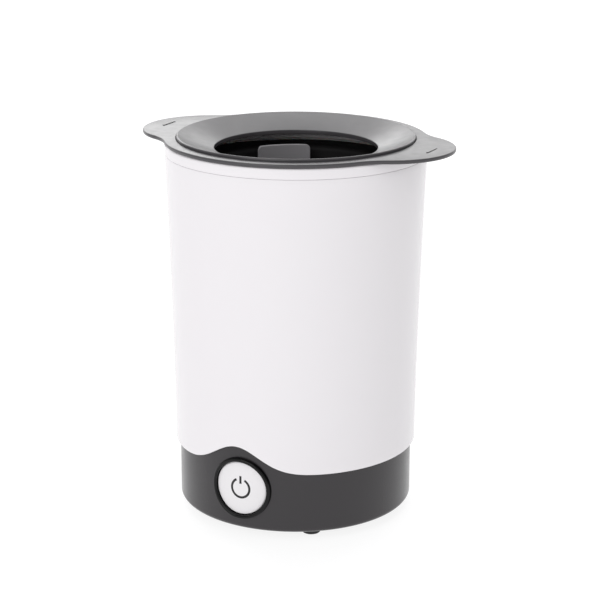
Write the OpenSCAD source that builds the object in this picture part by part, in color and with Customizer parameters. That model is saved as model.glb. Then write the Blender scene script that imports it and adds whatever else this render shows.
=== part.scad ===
// Bottle warmer: a round, free-standing warmer for one feeding bottle.
// The table is at z = 0, the axis is Z, the button faces -Y and the collar's ears lie along X.
// All sizes are in millimetres.

/* [Base] */
// Outer radius of the dark base
base_r = 55.2; // [54:0.1:67]
// Wall of the dark base
base_wall = 2.4; // [2:0.1:3]
// Height of the base's lower edge above the table
base_low_z = 3.9; // [3.5:0.1:5]
// Radius of the rounded lower edge
base_edge = 2.4; // [1:0.1:3]
// Radius of a rubber foot
foot_r = 4.4; // [3.6:0.1:5.5]
// Thickness of the bottom cover
cover_t = 2; // [1.6:0.1:2.6]

/* [Housing] */
// Height of the housing's lower edge, away from the button
skirt_z = 33; // [31:0.5:40]
// Height of the housing's top edge
rim_z = 176; // [150:0.5:215]
// Wall of the white housing
housing_wall = 1.8; // [1.5:0.1:2.4]
// How much wider the housing is at its rim than at its lower edge
housing_flare = 3.7; // [2:0.1:6]
// How far the lower edge rises over the button
wave_rise = 11.3; // [8:0.1:14]
// Spread of that rise, in degrees about the axis
wave_spread = 11.7; // [9:0.1:14.5]
// How far the middle of that rise is turned from the button, in degrees
wave_turn = -1.6; // [-3:0.1:3]
// Height of the separate rim ring
rim_ring_h = 5; // [4:0.5:7]
// Width of the rim ring's top face
rim_land = 4.4; // [3.6:0.1:5.5]

/* [Button] */
// Radius of the push button
button_r = 12.75; // [10:0.05:13.5]
// Height of the button's centre
button_z = 24; // [22:0.5:28]
// Width of the glossy ring round the button
bezel_w = 1.7; // [1.4:0.1:2.2]
// How far the button travels
button_travel = 1.6; // [1:0.1:2]
// Outer radius of the power symbol's circle
symbol_r = 5.05; // [4:0.05:6]
// Line width of the power symbol
symbol_line = 1.1; // [0.6:0.1:1.3]

/* [Bottle space] */
// Radius inside the basket's arms
basket_r = 32; // [26:0.5:33]
// Wall of the basket
basket_wall = 1.8; // [1.5:0.1:2.2]
// Width of one basket arm, in degrees about the axis
arm_angle = 44; // [30:1:60]
// Number of basket arms
arm_count = 3; // [3:1:4]
// Direction of the first arm
arm_turn = 7.8; // [0:0.1:30]
// Height of the basket's full ring
cup_h = 14; // [10:0.5:20]
// Height of the chamber's floor
floor_z = 48; // [47:0.5:56]
// Wall of the heating chamber
chamber_wall = 2; // [1.6:0.1:2.4]

/* [Collar] */
// Radius of each ear
ear_r = 31; // [20:0.5:34]
// How far the ears reach from the axis
ear_reach = 77.1; // [72:0.1:90]
// Radius of the hollow between an ear and the round flange
ear_blend = 26; // [8:0.5:30]
// Length of the low rib on each ear
ear_rib = 11; // [6:0.5:14]
// Thickness of the collar's flange
flange_t = 1.8; // [1.5:0.1:2.5]
// How far the flange stands out past the rim
flange_over = 0.2; // [0.1:0.1:2]
// Height of the funnel's edge above the flange
funnel_step = 1.55; // [1:0.05:2.5]
// Slope of the funnel, in degrees
funnel_slope = 19.3; // [12:0.1:24]
// Height of the wall round the funnel's throat
throat_h = 2; // [1.5:0.1:3]

/* [Power inlet] */
// Height of the inlet's centre
inlet_z = 20; // [18:0.5:26]
// Radius of an inlet pin
pin_r = 1.2; // [1:0.05:1.3]
// Distance between the two pins
pin_pitch = 8.6; // [8:0.1:9]

/* [Hidden] */
$fn = 96;

// Clearances
seat_gap = 0.1;      // faces that rest on each other, on pieces that come apart
move_gap = 0.3;      // pieces that lift past each other
button_gap = 0.25;   // round the push button
screw_gap = 0.05;    // round a screw's thread
head_gap = 0.5;      // round a screw's head
through_gap = 0.25;  // round a screw's shank in a clearance hole

// Colours
white = "#f2eff2";
dark = "#454245";
grey = "#a9a7a9";
black = "#151315";
steel = "#b9babd";
brass = "#c9a95c";
board_green = "#2f5d3a";
rubber = "#1c1c1d";

// Housing
housing_low_r = base_r + seat_gap + housing_wall;
function housing_r(z) =
    housing_low_r + housing_flare * pow(max(z - skirt_z, 0) / (rim_z - skirt_z), 1.5);
function housing_in(z) = housing_r(z) - housing_wall;
sleeve_overlap = 2.7;                           // base sleeve above the wave's top
sleeve_top = skirt_z + wave_rise + sleeve_overlap;
shoulder_h = 2;                                 // inner ring that sits on the sleeve
seam_z = rim_z - rim_ring_h;
seam_gap = 0.25;
rim_r = housing_r(rim_z);
rim_bore_r = rim_r - rim_land;
rim_edge = 0.8;                                 // rounded outer edge of the rim

// Chamber
flange_z = rim_z - 13;                          // underside of the chamber's flange
chamber_flange_t = 2;
gasket_t = 1;
chamber_flange_r = housing_in(flange_z) - 0.2;
ledge_w = 4;                                    // housing ledge under the flange
ledge_h = 2.5;
spigot_z = flange_z + chamber_flange_t + gasket_t;
spigot_r = housing_in(spigot_z) - 0.15;
throat_gap = 4;                                 // room round the basket in the throat
throat_r = basket_r + basket_wall + throat_gap;
chamber_r = throat_r + 2.7;
chamber_out = chamber_r + chamber_wall;
floor_t = 2;
stop_ring_w = 1.5;                              // ring on the floor that centres the basket
stop_ring_h = 3;
chamber_edge = 2;

// Heater, hung under the chamber's floor
plate_open = basket_r - 2;                      // opening in the chamber's floor
plate_gasket_t = 0.6;
plate_t = 1;
plate_r = chamber_out - 7.9;
plate_z = floor_z - floor_t - plate_gasket_t - plate_t;   // underside of the plate
clamp_t = 1.5;
clamp_screw_r = chamber_out - 3.6;
element_tube = 3.25;
element_r = plate_r - 13.1;
element_z = plate_z - element_tube;
element_open = 25;                              // half the open angle, at the rear
element_end_z = 33.5;
tab_low_z = 29;
tab_y = element_r * cos(element_open);
thermostat_r = 8;
sensor_r = 2;
sensor_y = -(thermostat_r + element_r - element_tube) / 2;  // midway between thermostat and element
fuse_front_y = element_r - 7.8;                 // in the element's opening

// Screws
m3_r = 1.45;
m2_r = 1.05;
housing_boss_r = base_r - 7.4;
housing_boss_angles = [35, 145, 215, 325];
cover_boss_r = base_r - 9.2;
cover_boss_angles = [15, 165, 195, 345];
foot_circle = base_r - 11.2;
foot_angles = [53.5, 126.5, 233.5, 306.5];

// Bottom cover
cover_z = base_low_z + 0.4;
cover_top = cover_z + cover_t;
cover_r = base_r - 2.9;
ledge_r = base_r - 4.6;

// Control board
board = [60, 50, 1.6];
board_y = 1;
board_z = 14;
board_top = board_z + board[2];
board_holes = [26, 21];
terminal_size = [24, 9, 10];
terminal_y = tab_y;                             // under the element's tabs
terminal_holes = [-9, -4.5, 0, 4.5, 9];
terminal_hole_r = 1.6;
relay_y = tab_y - 13;
transformer_y = relay_y - 18.5;
film_y = terminal_y - 12.5;

// Push button
bezel_in = button_r + button_gap;
bezel_r = bezel_in + bezel_w;
bezel_face = base_r + 1.9;                      // radius of the ring's front, about the axis
button_face = base_r + 0.5;                     // radius of the button's front, about the axis
bezel_flange_r = bezel_r + 1.8;
bezel_back_y = -(base_r - 6.8);
bezel_flange_t = 1.5;
button_flange_r = button_r + 1.4;
button_flange_y = bezel_back_y + seat_gap;
button_flange_t = 1.4;
button_back_y = button_flange_y + button_flange_t;
button_skin = 2;
switch_y = -(base_r - 17.2);                    // front face of the switch board
switch_board_size = [40, 1.6, 30];
tact_body = 3.5;
tact_plunger = 1.1;
stem_r = 3;
stem_y = switch_y - tact_body - tact_plunger - button_travel - seat_gap;
spring_r = 5.6;
spring_wire = 0.6;
spring_turns = 5;
switch_post = [17.5, 12];                       // from the button's centre
symbol_depth = 0.3;
symbol_open = 27;                               // half the circle's open angle

// Power inlet
inlet_face_y = base_r - 1.2;
inlet_deep = 13;
inlet_back = 2.5;
inlet_back_y = inlet_face_y - inlet_deep - inlet_back;
inlet_hollow = [8.8, 8.8];                      // distance between its round ends, its height
inlet_wall = 1.4;
inlet_flange = [38, 2, 17];
inlet_flange_y = base_r - 8.6;
inlet_screw_x = 15.5;
pin_front_y = inlet_face_y - 3;
pin_shoulder_r = 1.6;
pin_tail = 2;

// Collar and funnel
collar_z = rim_z + seat_gap;
flange_top = collar_z + flange_t;
flange_r = rim_r + flange_over;
skirt_r = rim_bore_r - move_gap;
collar_skirt_t = 1.6;
collar_skirt_z = rim_z - 6.5;
funnel_r = rim_bore_r - 1.2;
funnel_top = flange_top + funnel_step;
funnel_t = 1.9;
funnel_edge = 0.9;
throat_wall = 1.6;
dish_r = throat_r + 8.2;
dish_t = 1.6;
function funnel_z(r) = funnel_top - (funnel_r - r) * tan(funnel_slope);
function funnel_under(r) = funnel_z(r) - funnel_t;
ear_x = ear_reach - ear_r;
ear_edge = 0.45;
rib_w = 1;
rib_h = 0.3;
rib_x = ear_reach - 9.3;

// Basket
basket_out = basket_r + basket_wall;
basket_z = floor_z + move_gap;
basket_floor_t = 2;
cup_in = basket_r - 1;
arm_top = rim_z - 8.5;
arm_corner = 2;
vent_r = 3;

// Points from a to b in n steps
function steps(a, b, n) = [for (i = [0:n]) a + (b - a) * i / n];
// An arc of radius r about [x, z], from angle a to angle b
function arc(x, z, r, a, b, n = 8) = [for (t = steps(a, b, n)) [x + r * cos(t), z + r * sin(t)]];
// A point on a cubic curve with four control points
function curve(p, t) = pow(1 - t, 3) * p[0] + 3 * t * pow(1 - t, 2) * p[1]
    + 3 * t * t * (1 - t) * p[2] + pow(t, 3) * p[3];
function unit(v) = v / norm(v);

// Places its children at each angle, r from the axis
module round_array(r, angles) {
    for (a = angles) rotate([0, 0, a]) translate([r, 0, 0]) children();
}

// A cylinder along Y, from y = a to y = b
module rod_y(r, a, b, x = 0, z = 0) {
    translate([x, b, z]) rotate([90, 0, 0]) cylinder(r = r, h = b - a);
}

// A round tube swept along a list of points, square to the start and end directions
module swept_tube(path, r, start, end, sides = 8) {
    last = len(path) - 1;
    ways = [for (i = [0:last])
        i == 0 ? unit(start) : i == last ? unit(end) : unit(path[i + 1] - path[i - 1])];
    rings = [for (i = [0:last])
        let (way = ways[i],
             side = unit(cross(abs(way[0]) < 0.8 ? [1, 0, 0] : [0, 1, 0], way)),
             up = cross(way, side))
        for (j = [0:sides - 1]) path[i] + r * (cos(j * 360 / sides) * side + sin(j * 360 / sides) * up)];
    walls = [for (i = [0:last - 1], j = [0:sides - 1])
        let (a = i * sides + j, b = i * sides + (j + 1) % sides)
        each [[a, a + sides, b + sides], [a, b + sides, b]]];
    polyhedron(points = rings, faces = concat(walls,
        [[for (j = [0:sides - 1]) j]],
        [[for (j = [sides - 1:-1:0]) last * sides + j]]));
}

// A lead along a cubic curve
module lead(p, r) {
    swept_tube([for (t = steps(0, 1, 12)) curve(p, t)], r, p[1] - p[0], p[3] - p[2]);
}

// A screw pointing up, with its head's seat at z = 0
module screw(shank_r, length, head_r, head_h) {
    difference() {
        union() {
            translate([0, 0, -head_h]) cylinder(r = head_r, h = head_h, $fn = 48);
            translate([0, 0, -head_h / 2]) cylinder(r = shank_r, h = length + head_h / 2, $fn = 32);
        }
        for (a = [0, 90]) rotate([0, 0, a])
            translate([-head_r * 0.55, -0.35, -head_h - 0.01]) cube([head_r * 1.1, 0.7, head_h * 0.6]);
    }
}

// White outer shell, with the wave over the button and a ledge for the chamber
module outer_housing() {
    color(white) difference() {
        union() {
            rotate_extrude() polygon(concat(
                [for (z = steps(skirt_z, seam_z, 18)) [housing_r(z), z]],
                [[housing_in(seam_z), seam_z],
                 [housing_in(flange_z), flange_z],
                 [chamber_flange_r - ledge_w, flange_z],
                 [chamber_flange_r - ledge_w, flange_z - ledge_h],
                 [housing_in(flange_z - 7), flange_z - 7]],
                [for (z = steps(flange_z - 7, sleeve_top + shoulder_h, 14)) [housing_in(z), z]],
                [[base_r - base_wall, sleeve_top + shoulder_h],
                 [base_r - base_wall, sleeve_top],
                 [housing_in(sleeve_top), sleeve_top],
                 [housing_in(skirt_z), skirt_z]]));
            // Lugs for the housing screws
            round_array(housing_boss_r, housing_boss_angles) {
                translate([0, 0, sleeve_top]) cylinder(r = 4, h = 8);
                translate([0, -3.2, sleeve_top + 0.8]) cube([base_r - housing_boss_r + 0.9, 6.4, 7.2]);
            }
        }
        lower_wave();
        round_array(housing_boss_r, housing_boss_angles)
            translate([0, 0, sleeve_top - 1]) cylinder(r = m3_r + screw_gap, h = 7.5, $fn = 32);
    }
}

// What the wave takes off the front of the lower edge. It starts a little under the edge.
module lower_wave() {
    dip = 0.15;
    reach = housing_low_r * sin(3.2 * wave_spread);
    translate([0, -base_r * 0.5, 0]) rotate([90, 0, 0]) linear_extrude(base_r)
        polygon(concat(
            [[reach, skirt_z - 1], [-reach, skirt_z - 1]],
            [for (x = steps(-reach, reach, 40))
                [x, skirt_z - dip + (wave_rise + dip)
                    * exp(-pow((asin(x / housing_low_r) - wave_turn) / wave_spread, 2) / 2)]]));
}

// White ring that closes the housing's top and clamps the chamber
module rim_ring() {
    color(white) rotate_extrude() polygon(concat(
        [[rim_bore_r, spigot_z], [spigot_r, spigot_z], [spigot_r, seam_z + seam_gap],
         [housing_r(seam_z + seam_gap), seam_z + seam_gap]],
        arc(rim_r - rim_edge, rim_z - rim_edge, rim_edge, 0, 90),
        arc(rim_bore_r + 0.5, rim_z - 0.5, 0.5, 90, 180)));
}

// Dark base shell, with its bosses, the button's hole and the inlet's hole
module base_housing() {
    boss_low = cover_top + 0.3;
    web_h = sleeve_top - boss_low - 0.8;
    color(dark) difference() {
        union() {
            rotate_extrude() polygon(concat(
                arc(base_r - base_edge, base_low_z + base_edge, base_edge, -55, 0),
                [[base_r, sleeve_top], [base_r - base_wall, sleeve_top],
                 [base_r - base_wall, cover_top + 1.7], [ledge_r, cover_top + 1.7],
                 [ledge_r, cover_top], [cover_r + 0.2, cover_top], [cover_r + 0.2, base_low_z],
                 [base_r - base_edge, base_low_z]]));
            round_array(housing_boss_r, housing_boss_angles) {
                translate([0, 0, boss_low]) cylinder(r = 4.7, h = sleeve_top - boss_low);
                translate([0, -1.2, boss_low + 0.4]) cube([base_r - housing_boss_r - 1, 2.4, web_h - 0.4]);
            }
            round_array(cover_boss_r, cover_boss_angles) {
                translate([0, 0, boss_low]) cylinder(r = 3.4, h = 16);
                translate([0, -1, boss_low + 0.4]) cube([base_r - cover_boss_r - 1, 2, 15]);
            }
            // Posts for the switch board
            for (x = [-1, 1], z = [-1, 1])
                rod_y(2.5, -(base_r - 5), switch_y, x * switch_post[0], button_z + z * switch_post[1]);
            // Posts for the inlet's flange
            for (x = [-1, 1])
                rod_y(3, inlet_flange_y + inlet_flange[1], base_r - 4.2, x * inlet_screw_x, inlet_z);
        }
        // Button and inlet openings
        rod_y(bezel_r + screw_gap, -(base_r + 5), -(base_r - 10), 0, button_z);
        translate([0, 0, inlet_z]) rotate([-90, 0, 0]) linear_extrude(base_r + 5)
            inlet_outline(inlet_wall + 0.1);
        // Housing screws: clearance above, room for the head and the driver below
        round_array(housing_boss_r, housing_boss_angles) {
            cylinder(r = m3_r + through_gap, h = sleeve_top + 1, $fn = 32);
            cylinder(r = 2.8 + head_gap, h = sleeve_top - 6, $fn = 48);
        }
        round_array(cover_boss_r, cover_boss_angles)
            translate([0, 0, boss_low - 1]) cylinder(r = m3_r + screw_gap, h = 13, $fn = 32);
        for (x = [-1, 1], z = [-1, 1])
            rod_y(m2_r + screw_gap, switch_y - 7, switch_y + 1,
                  x * switch_post[0], button_z + z * switch_post[1]);
        for (x = [-1, 1])
            rod_y(m2_r + screw_gap, inlet_flange_y, inlet_flange_y + 6, x * inlet_screw_x, inlet_z);
    }
}

// Bottom cover, with vents, the board's posts and holes for screws and feet
module base_cover() {
    color(dark) difference() {
        union() {
            translate([0, 0, cover_z]) cylinder(r = cover_r, h = cover_t);
            for (x = [-1, 1], y = [-1, 1])
                translate([x * board_holes[0], board_y + y * board_holes[1], cover_z])
                    cylinder(r = 3, h = board_z - cover_z);
        }
        for (x = [-1, 1], y = [-1, 1])
            translate([x * board_holes[0], board_y + y * board_holes[1], cover_top])
                cylinder(r = m2_r + screw_gap, h = board_z, $fn = 32);
        round_array(cover_boss_r, cover_boss_angles) {
            cylinder(r = m3_r + through_gap, h = cover_top + 1, $fn = 32);
            cylinder(r = 2.8 + head_gap, h = cover_z + 0.8, $fn = 48);
        }
        round_array(foot_circle, foot_angles) cylinder(r = 1.8, h = cover_top + 1, $fn = 32);
        for (i = [-4:4]) translate([i * 4.6 - 1.1, -13, 0]) cube([2.2, 26, cover_top + 1]);
    }
}

// One push-in rubber foot
module foot(i) {
    round = 0.8;
    color(rubber) round_array(foot_circle, [foot_angles[i - 1]]) rotate_extrude($fn = 64) polygon(concat(
        [[0, 0]],
        arc(foot_r - round, round, round, -90, 0, 5),
        [[foot_r, cover_z], [1.8, cover_z], [1.8, cover_top], [2.5, cover_top],
         [1.2, cover_top + 2.2], [0, cover_top + 2.2]]));
}

module cover_screws() {
    color(steel) round_array(cover_boss_r, cover_boss_angles)
        translate([0, 0, cover_z + 0.8]) screw(m3_r, 11, 2.8, 0.7);
}

module housing_screws() {
    color(steel) round_array(housing_boss_r, housing_boss_angles)
        translate([0, 0, sleeve_top - 6]) screw(m3_r, 12, 2.8, 2);
}

// Black water chamber, with the flange it hangs from
module heating_chamber() {
    low = floor_z - floor_t;
    ring_in = basket_out + move_gap;
    color(black) difference() {
        union() {
            rotate_extrude() polygon(concat(
                [[plate_open, low], [chamber_out, low], [chamber_out, flange_z],
                 [chamber_flange_r, flange_z], [chamber_flange_r, flange_z + chamber_flange_t]],
                arc(chamber_r + chamber_edge, flange_z + chamber_flange_t - chamber_edge,
                    chamber_edge, 90, 180),
                [[chamber_r, floor_z], [ring_in + stop_ring_w, floor_z],
                 [ring_in + stop_ring_w, floor_z + stop_ring_h], [ring_in, floor_z + stop_ring_h],
                 [ring_in, floor_z], [plate_open, floor_z]]));
            round_array(clamp_screw_r, [45:90:315])
                translate([0, 0, plate_z]) cylinder(r = 3, h = low - plate_z + 0.5);
        }
        round_array(clamp_screw_r, [45:90:315])
            translate([0, 0, plate_z - 1]) cylinder(r = 1.3 + screw_gap, h = 4, $fn = 32);
    }
}

// Silicone ring between the chamber's flange and the rim ring
module chamber_gasket() {
    color(grey) translate([0, 0, spigot_z - gasket_t]) difference() {
        cylinder(r = chamber_flange_r - 0.1, h = gasket_t);
        translate([0, 0, -1]) cylinder(r = rim_bore_r - 0.4, h = gasket_t + 2);
    }
}

// Silicone ring between the chamber's floor and the heating plate
module plate_gasket() {
    color(grey) translate([0, 0, plate_z + plate_t]) difference() {
        cylinder(r = plate_r - 0.2, h = plate_gasket_t);
        translate([0, 0, -1]) cylinder(r = plate_open + 0.2, h = plate_gasket_t + 2);
    }
}

// Steel plate that closes the chamber's floor
module heating_plate() {
    color(steel) translate([0, 0, plate_z]) cylinder(r = plate_r, h = plate_t);
}

// Pressed ring with four ears that holds the plate up
module plate_clamp() {
    color(steel) translate([0, 0, plate_z - clamp_t]) difference() {
        union() {
            cylinder(r = plate_r, h = clamp_t);
            round_array(0, [45:90:315]) translate([plate_r - 4, -3.5, 0])
                cube([clamp_screw_r - plate_r + 4, 7, clamp_t]);
            round_array(clamp_screw_r, [45:90:315]) cylinder(r = 3.5, h = clamp_t);
        }
        translate([0, 0, -1]) cylinder(r = plate_r - 7.5, h = clamp_t + 2);
        round_array(clamp_screw_r, [45:90:315])
            translate([0, 0, -1]) cylinder(r = 1.3 + through_gap, h = clamp_t + 2, $fn = 32);
    }
}

module clamp_screws() {
    color(steel) round_array(clamp_screw_r, [45:90:315])
        translate([0, 0, plate_z - clamp_t]) screw(1.3, 4.2, 2.4, 1.6);
}

// Tubular heating element, an open ring with two cold ends and their tabs
module heating_element() {
    color(steel) {
        rotate([0, 0, 90 + element_open]) rotate_extrude(angle = 360 - 2 * element_open)
            translate([element_r, element_z]) circle(r = element_tube, $fn = 32);
        round_array(element_r, [90 - element_open, 90 + element_open]) {
            translate([0, 0, element_z]) sphere(r = element_tube, $fn = 32);
            translate([0, 0, element_end_z]) cylinder(r = 2.3, h = element_z - element_end_z, $fn = 32);
            translate([-0.4, -2.2, tab_low_z]) cube([0.8, 4.4, element_end_z - tab_low_z + 0.5]);
        }
    }
}

// Disc thermostat against the middle of the plate
module thermostat() {
    color("#5a3a2a") {
        translate([0, 0, plate_z - 5]) cylinder(r = thermostat_r, h = 5);
        translate([0, 0, plate_z - 10]) cylinder(r = 7, h = 5.01);
        for (x = [-1, 1]) translate([x * 9.5 - 3.5, -2.5, plate_z - 9.8]) cube([7, 5, 0.8]);
    }
}

module thermal_fuse() {
    color(white) rod_y(2, fuse_front_y, fuse_front_y + 12, 0, plate_z - 2);
}

module temperature_sensor() {
    color(black) translate([0, sensor_y, plate_z - 5]) cylinder(r = sensor_r, h = 5, $fn = 32);
}

module control_board() {
    color(board_green) difference() {
        translate([-board[0] / 2, board_y - board[1] / 2, board_z]) cube(board);
        for (x = [-1, 1], y = [-1, 1])
            translate([x * board_holes[0], board_y + y * board_holes[1], board_z - 1])
                cylinder(r = m2_r + through_gap, h = board[2] + 2, $fn = 32);
    }
}

module board_screws() {
    color(steel) for (x = [-1, 1], y = [-1, 1])
        translate([x * board_holes[0], board_y + y * board_holes[1], board_top])
            mirror([0, 0, 1]) screw(m2_r, 6, 2, 1.4);
}

module on_board(x, y, size) {
    translate([x - size[0] / 2, y - size[1] / 2, board_top]) cube(size);
}

module relay() {
    color("#2f4f7a") on_board(-17.5, relay_y, [19, 15.4, 15.2]);
}

module transformer() {
    color("#d9b648") on_board(-14, transformer_y, [13, 14, 4]);
    color(black) on_board(-14, transformer_y, [16, 10, 13]);
}

module film_capacitor() {
    color("#c8a23c") on_board(15, film_y, [18, 8, 14.5]);
}

module smoothing_capacitor() {
    color("#26324a") translate([15, -10, board_top]) cylinder(r = 5, h = 16, $fn = 48);
}

// Screw terminals for the mains and the heater
module terminal_block() {
    color("#3c7a4a") difference() {
        on_board(0, terminal_y, terminal_size);
        for (x = terminal_holes) translate([x, terminal_y, board_top + terminal_size[2] - 3])
            cylinder(r = terminal_hole_r, h = 4, $fn = 32);
    }
}

// Racetrack outline of the socket's hollow, grown by a margin
module inlet_outline(margin) {
    r = inlet_hollow[1] / 2 + margin;
    square([inlet_hollow[0], 2 * r], center = true);
    for (x = [-0.5, 0.5]) translate([x * inlet_hollow[0], 0]) circle(r = r, $fn = 48);
}

// Two-pole socket, screwed to the base from inside
module power_inlet() {
    color(black) difference() {
        translate([0, 0, inlet_z]) union() {
            translate([0, inlet_back_y, 0]) rotate([-90, 0, 0])
                linear_extrude(inlet_face_y - inlet_back_y) inlet_outline(inlet_wall);
            translate([-inlet_flange[0] / 2, inlet_flange_y, -inlet_flange[2] / 2]) cube(inlet_flange);
        }
        translate([0, inlet_back_y + inlet_back, inlet_z]) rotate([-90, 0, 0])
            linear_extrude(inlet_deep + 1) inlet_outline(0);
        for (x = [-1, 1]) {
            rod_y(pin_shoulder_r + screw_gap, inlet_back_y - 1, inlet_back_y + inlet_back + 1,
                  x * pin_pitch / 2, inlet_z);
            rod_y(m2_r + through_gap, inlet_flange_y - 1, inlet_flange_y + 3, x * inlet_screw_x, inlet_z);
        }
    }
}

// Two round pins, each with a thicker root and a rounded tip
module inlet_pins() {
    color(brass) for (x = [-1, 1]) {
        rod_y(pin_shoulder_r, inlet_back_y - pin_tail, inlet_back_y + inlet_back, x * pin_pitch / 2, inlet_z);
        rod_y(pin_r, inlet_back_y + inlet_back - 0.5, pin_front_y, x * pin_pitch / 2, inlet_z);
        translate([x * pin_pitch / 2, pin_front_y, inlet_z]) sphere(r = pin_r, $fn = 32);
    }
}

module inlet_screws() {
    color(steel) for (x = [-1, 1])
        translate([x * inlet_screw_x, inlet_flange_y, inlet_z]) rotate([-90, 0, 0])
            screw(m2_r, 5, 2, 1.4);
}

// Glossy ring round the button, held by a flange behind the base's wall
module button_bezel() {
    color(black) difference() {
        union() {
            intersection() {
                rod_y(bezel_r, -(base_r + 5), bezel_back_y - 0.5, 0, button_z);
                translate([0, 0, button_z - 30]) cylinder(r = bezel_face, h = 60, $fn = 128);
            }
            rod_y(bezel_flange_r, bezel_back_y - bezel_flange_t, bezel_back_y, 0, button_z);
        }
        rod_y(bezel_in, -(base_r + 6), bezel_back_y + 1, 0, button_z);
    }
}

// White push button, with a flange that stops it behind the ring and a stem for the switch
module power_button() {
    color(white) difference() {
        union() {
            intersection() {
                rod_y(button_r, -(base_r + 5), button_back_y - 0.5, 0, button_z);
                translate([0, 0, button_z - 30]) cylinder(r = button_face, h = 60, $fn = 128);
            }
            rod_y(button_flange_r, button_flange_y, button_back_y, 0, button_z);
        }
        // Hollow behind the face
        intersection() {
            rod_y(button_r - 1.8, -(base_r + 5), button_back_y + 1, 0, button_z);
            translate([0, 0, button_z - 30]) cylinder(r = button_face - button_skin, h = 60, $fn = 128);
        }
        symbol_solid();
    }
    color(white) rod_y(stem_r, -(button_face - button_skin + 0.8), stem_y, 0, button_z);
}

// The power sign's outline, seen from the front
module symbol_outline() {
    reach = 2 * symbol_r;
    difference() {
        circle(r = symbol_r, $fn = 64);
        circle(r = symbol_r - symbol_line, $fn = 64);
        polygon([[0, 0], [reach * sin(symbol_open), reach * cos(symbol_open)],
                 [-reach * sin(symbol_open), reach * cos(symbol_open)]]);
    }
    translate([-symbol_line / 2, symbol_r * 0.42]) square([symbol_line, symbol_r * 0.75]);
}

module symbol_solid() {
    intersection() {
        translate([0, -(base_r - 6), button_z]) rotate([90, 0, 0]) linear_extrude(12) symbol_outline();
        difference() {
            translate([0, 0, button_z - 30]) cylinder(r = button_face, h = 60, $fn = 128);
            translate([0, 0, button_z - 31]) cylinder(r = button_face - symbol_depth, h = 62, $fn = 128);
        }
    }
}

// The power sign, let into the button's face
module power_symbol() {
    color(dark) symbol_solid();
}

// Coil spring between the button and the switch board
module button_spring() {
    turn = 360 * spring_turns;
    first = button_back_y + spring_wire;
    last = switch_y - spring_wire;
    color(steel) swept_tube([for (a = steps(0, turn, 18 * spring_turns))
        [spring_r * cos(a), first + (last - first) * a / turn, button_z + spring_r * sin(a)]],
        spring_wire / 2, [0, 0, 1], [0, 0, 1], 6);
}

module switch_board() {
    color(board_green) difference() {
        translate([-switch_board_size[0] / 2, switch_y, button_z - switch_board_size[2] / 2])
            cube(switch_board_size);
        for (x = [-1, 1], z = [-1, 1])
            rod_y(m2_r + through_gap, switch_y - 1, switch_y + 3,
                  x * switch_post[0], button_z + z * switch_post[1]);
    }
}

module tact_switch() {
    color(black) {
        translate([-3, switch_y - tact_body, button_z - 3]) cube([6, tact_body, 6]);
        rod_y(1.7, switch_y - tact_body - tact_plunger, switch_y - tact_body + 0.01, 0, button_z);
    }
}

// Small light behind the button
module indicator_led() {
    color("#e8e2c8") {
        rod_y(1.5, switch_y - 3.5, switch_y, 0, button_z + 8.5);
        translate([0, switch_y - 3.5, button_z + 8.5]) sphere(r = 1.5, $fn = 32);
    }
}

module switch_screws() {
    color(steel) for (x = [-1, 1], z = [-1, 1])
        translate([x * switch_post[0], switch_y + switch_board_size[1], button_z + z * switch_post[1]])
            rotate([90, 0, 0]) screw(m2_r, 8, 2, 1.4);
}

// Two leads from the inlet to the terminals
module mains_leads() {
    from_y = inlet_back_y - pin_tail;
    to_y = terminal_y + terminal_size[1] / 2;
    low = board_top + 4;
    color("#2b2b2e") for (x = [-1, 1])
        lead([[x * pin_pitch / 2, from_y, inlet_z], [x * pin_pitch / 2, from_y - 4, inlet_z],
              [x * terminal_holes[3], to_y + 4, low], [x * terminal_holes[3], to_y, low]], 1.1);
}

// Two leads from the terminals' far sides to the heating element
module heater_leads() {
    x = element_r * sin(element_open);
    low = board_top + terminal_size[2];
    color("#8c2f2a") for (side = [-1, 1])
        lead([[side * x, tab_y, tab_low_z], [side * x, tab_y, tab_low_z - 2],
              [side * terminal_holes[4], terminal_y, low + 1],
              [side * terminal_holes[4], terminal_y, low - 2.5]], 1);
}

// Leads from the thermostat to the board
module cutout_leads() {
    color("#d8d8d4") for (side = [-1, 1])
        lead([[side * 10.5, 0, plate_z - 9.8], [side * 10.5, 0, plate_z - 12],
              [side * 3, relay_y - 13.5, board_top + 17], [side * 3, relay_y - 13.5, board_top]], 0.9);
}

module sensor_lead() {
    end_y = sensor_y - 3;
    color(black) lead([[0, sensor_y, plate_z - 5], [0, sensor_y, plate_z - 14],
                       [0, end_y, board_top + 12], [0, end_y, board_top]], 0.9);
}

// Three thin leads from the switch board to the control board
module switch_leads() {
    back_y = switch_y + switch_board_size[1];
    front_y = board_y - board[1] / 2 + 4;
    color("#6e6e72") for (x = [-2.54, 0, 2.54])
        lead([[x, back_y, button_z - 8], [x, back_y + 5, button_z - 8],
              [x, front_y, board_top + 9], [x, front_y, board_top]], 0.6);
}

// A list without its first point
function tail(points) = [for (i = [1:len(points) - 1]) points[i]];
// A list's points from last to first, each multiplied by [x, y]
function mirrored(points, x, y) = [for (i = [len(points) - 2:-1:0]) [points[i][0] * x, points[i][1] * y]];

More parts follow.
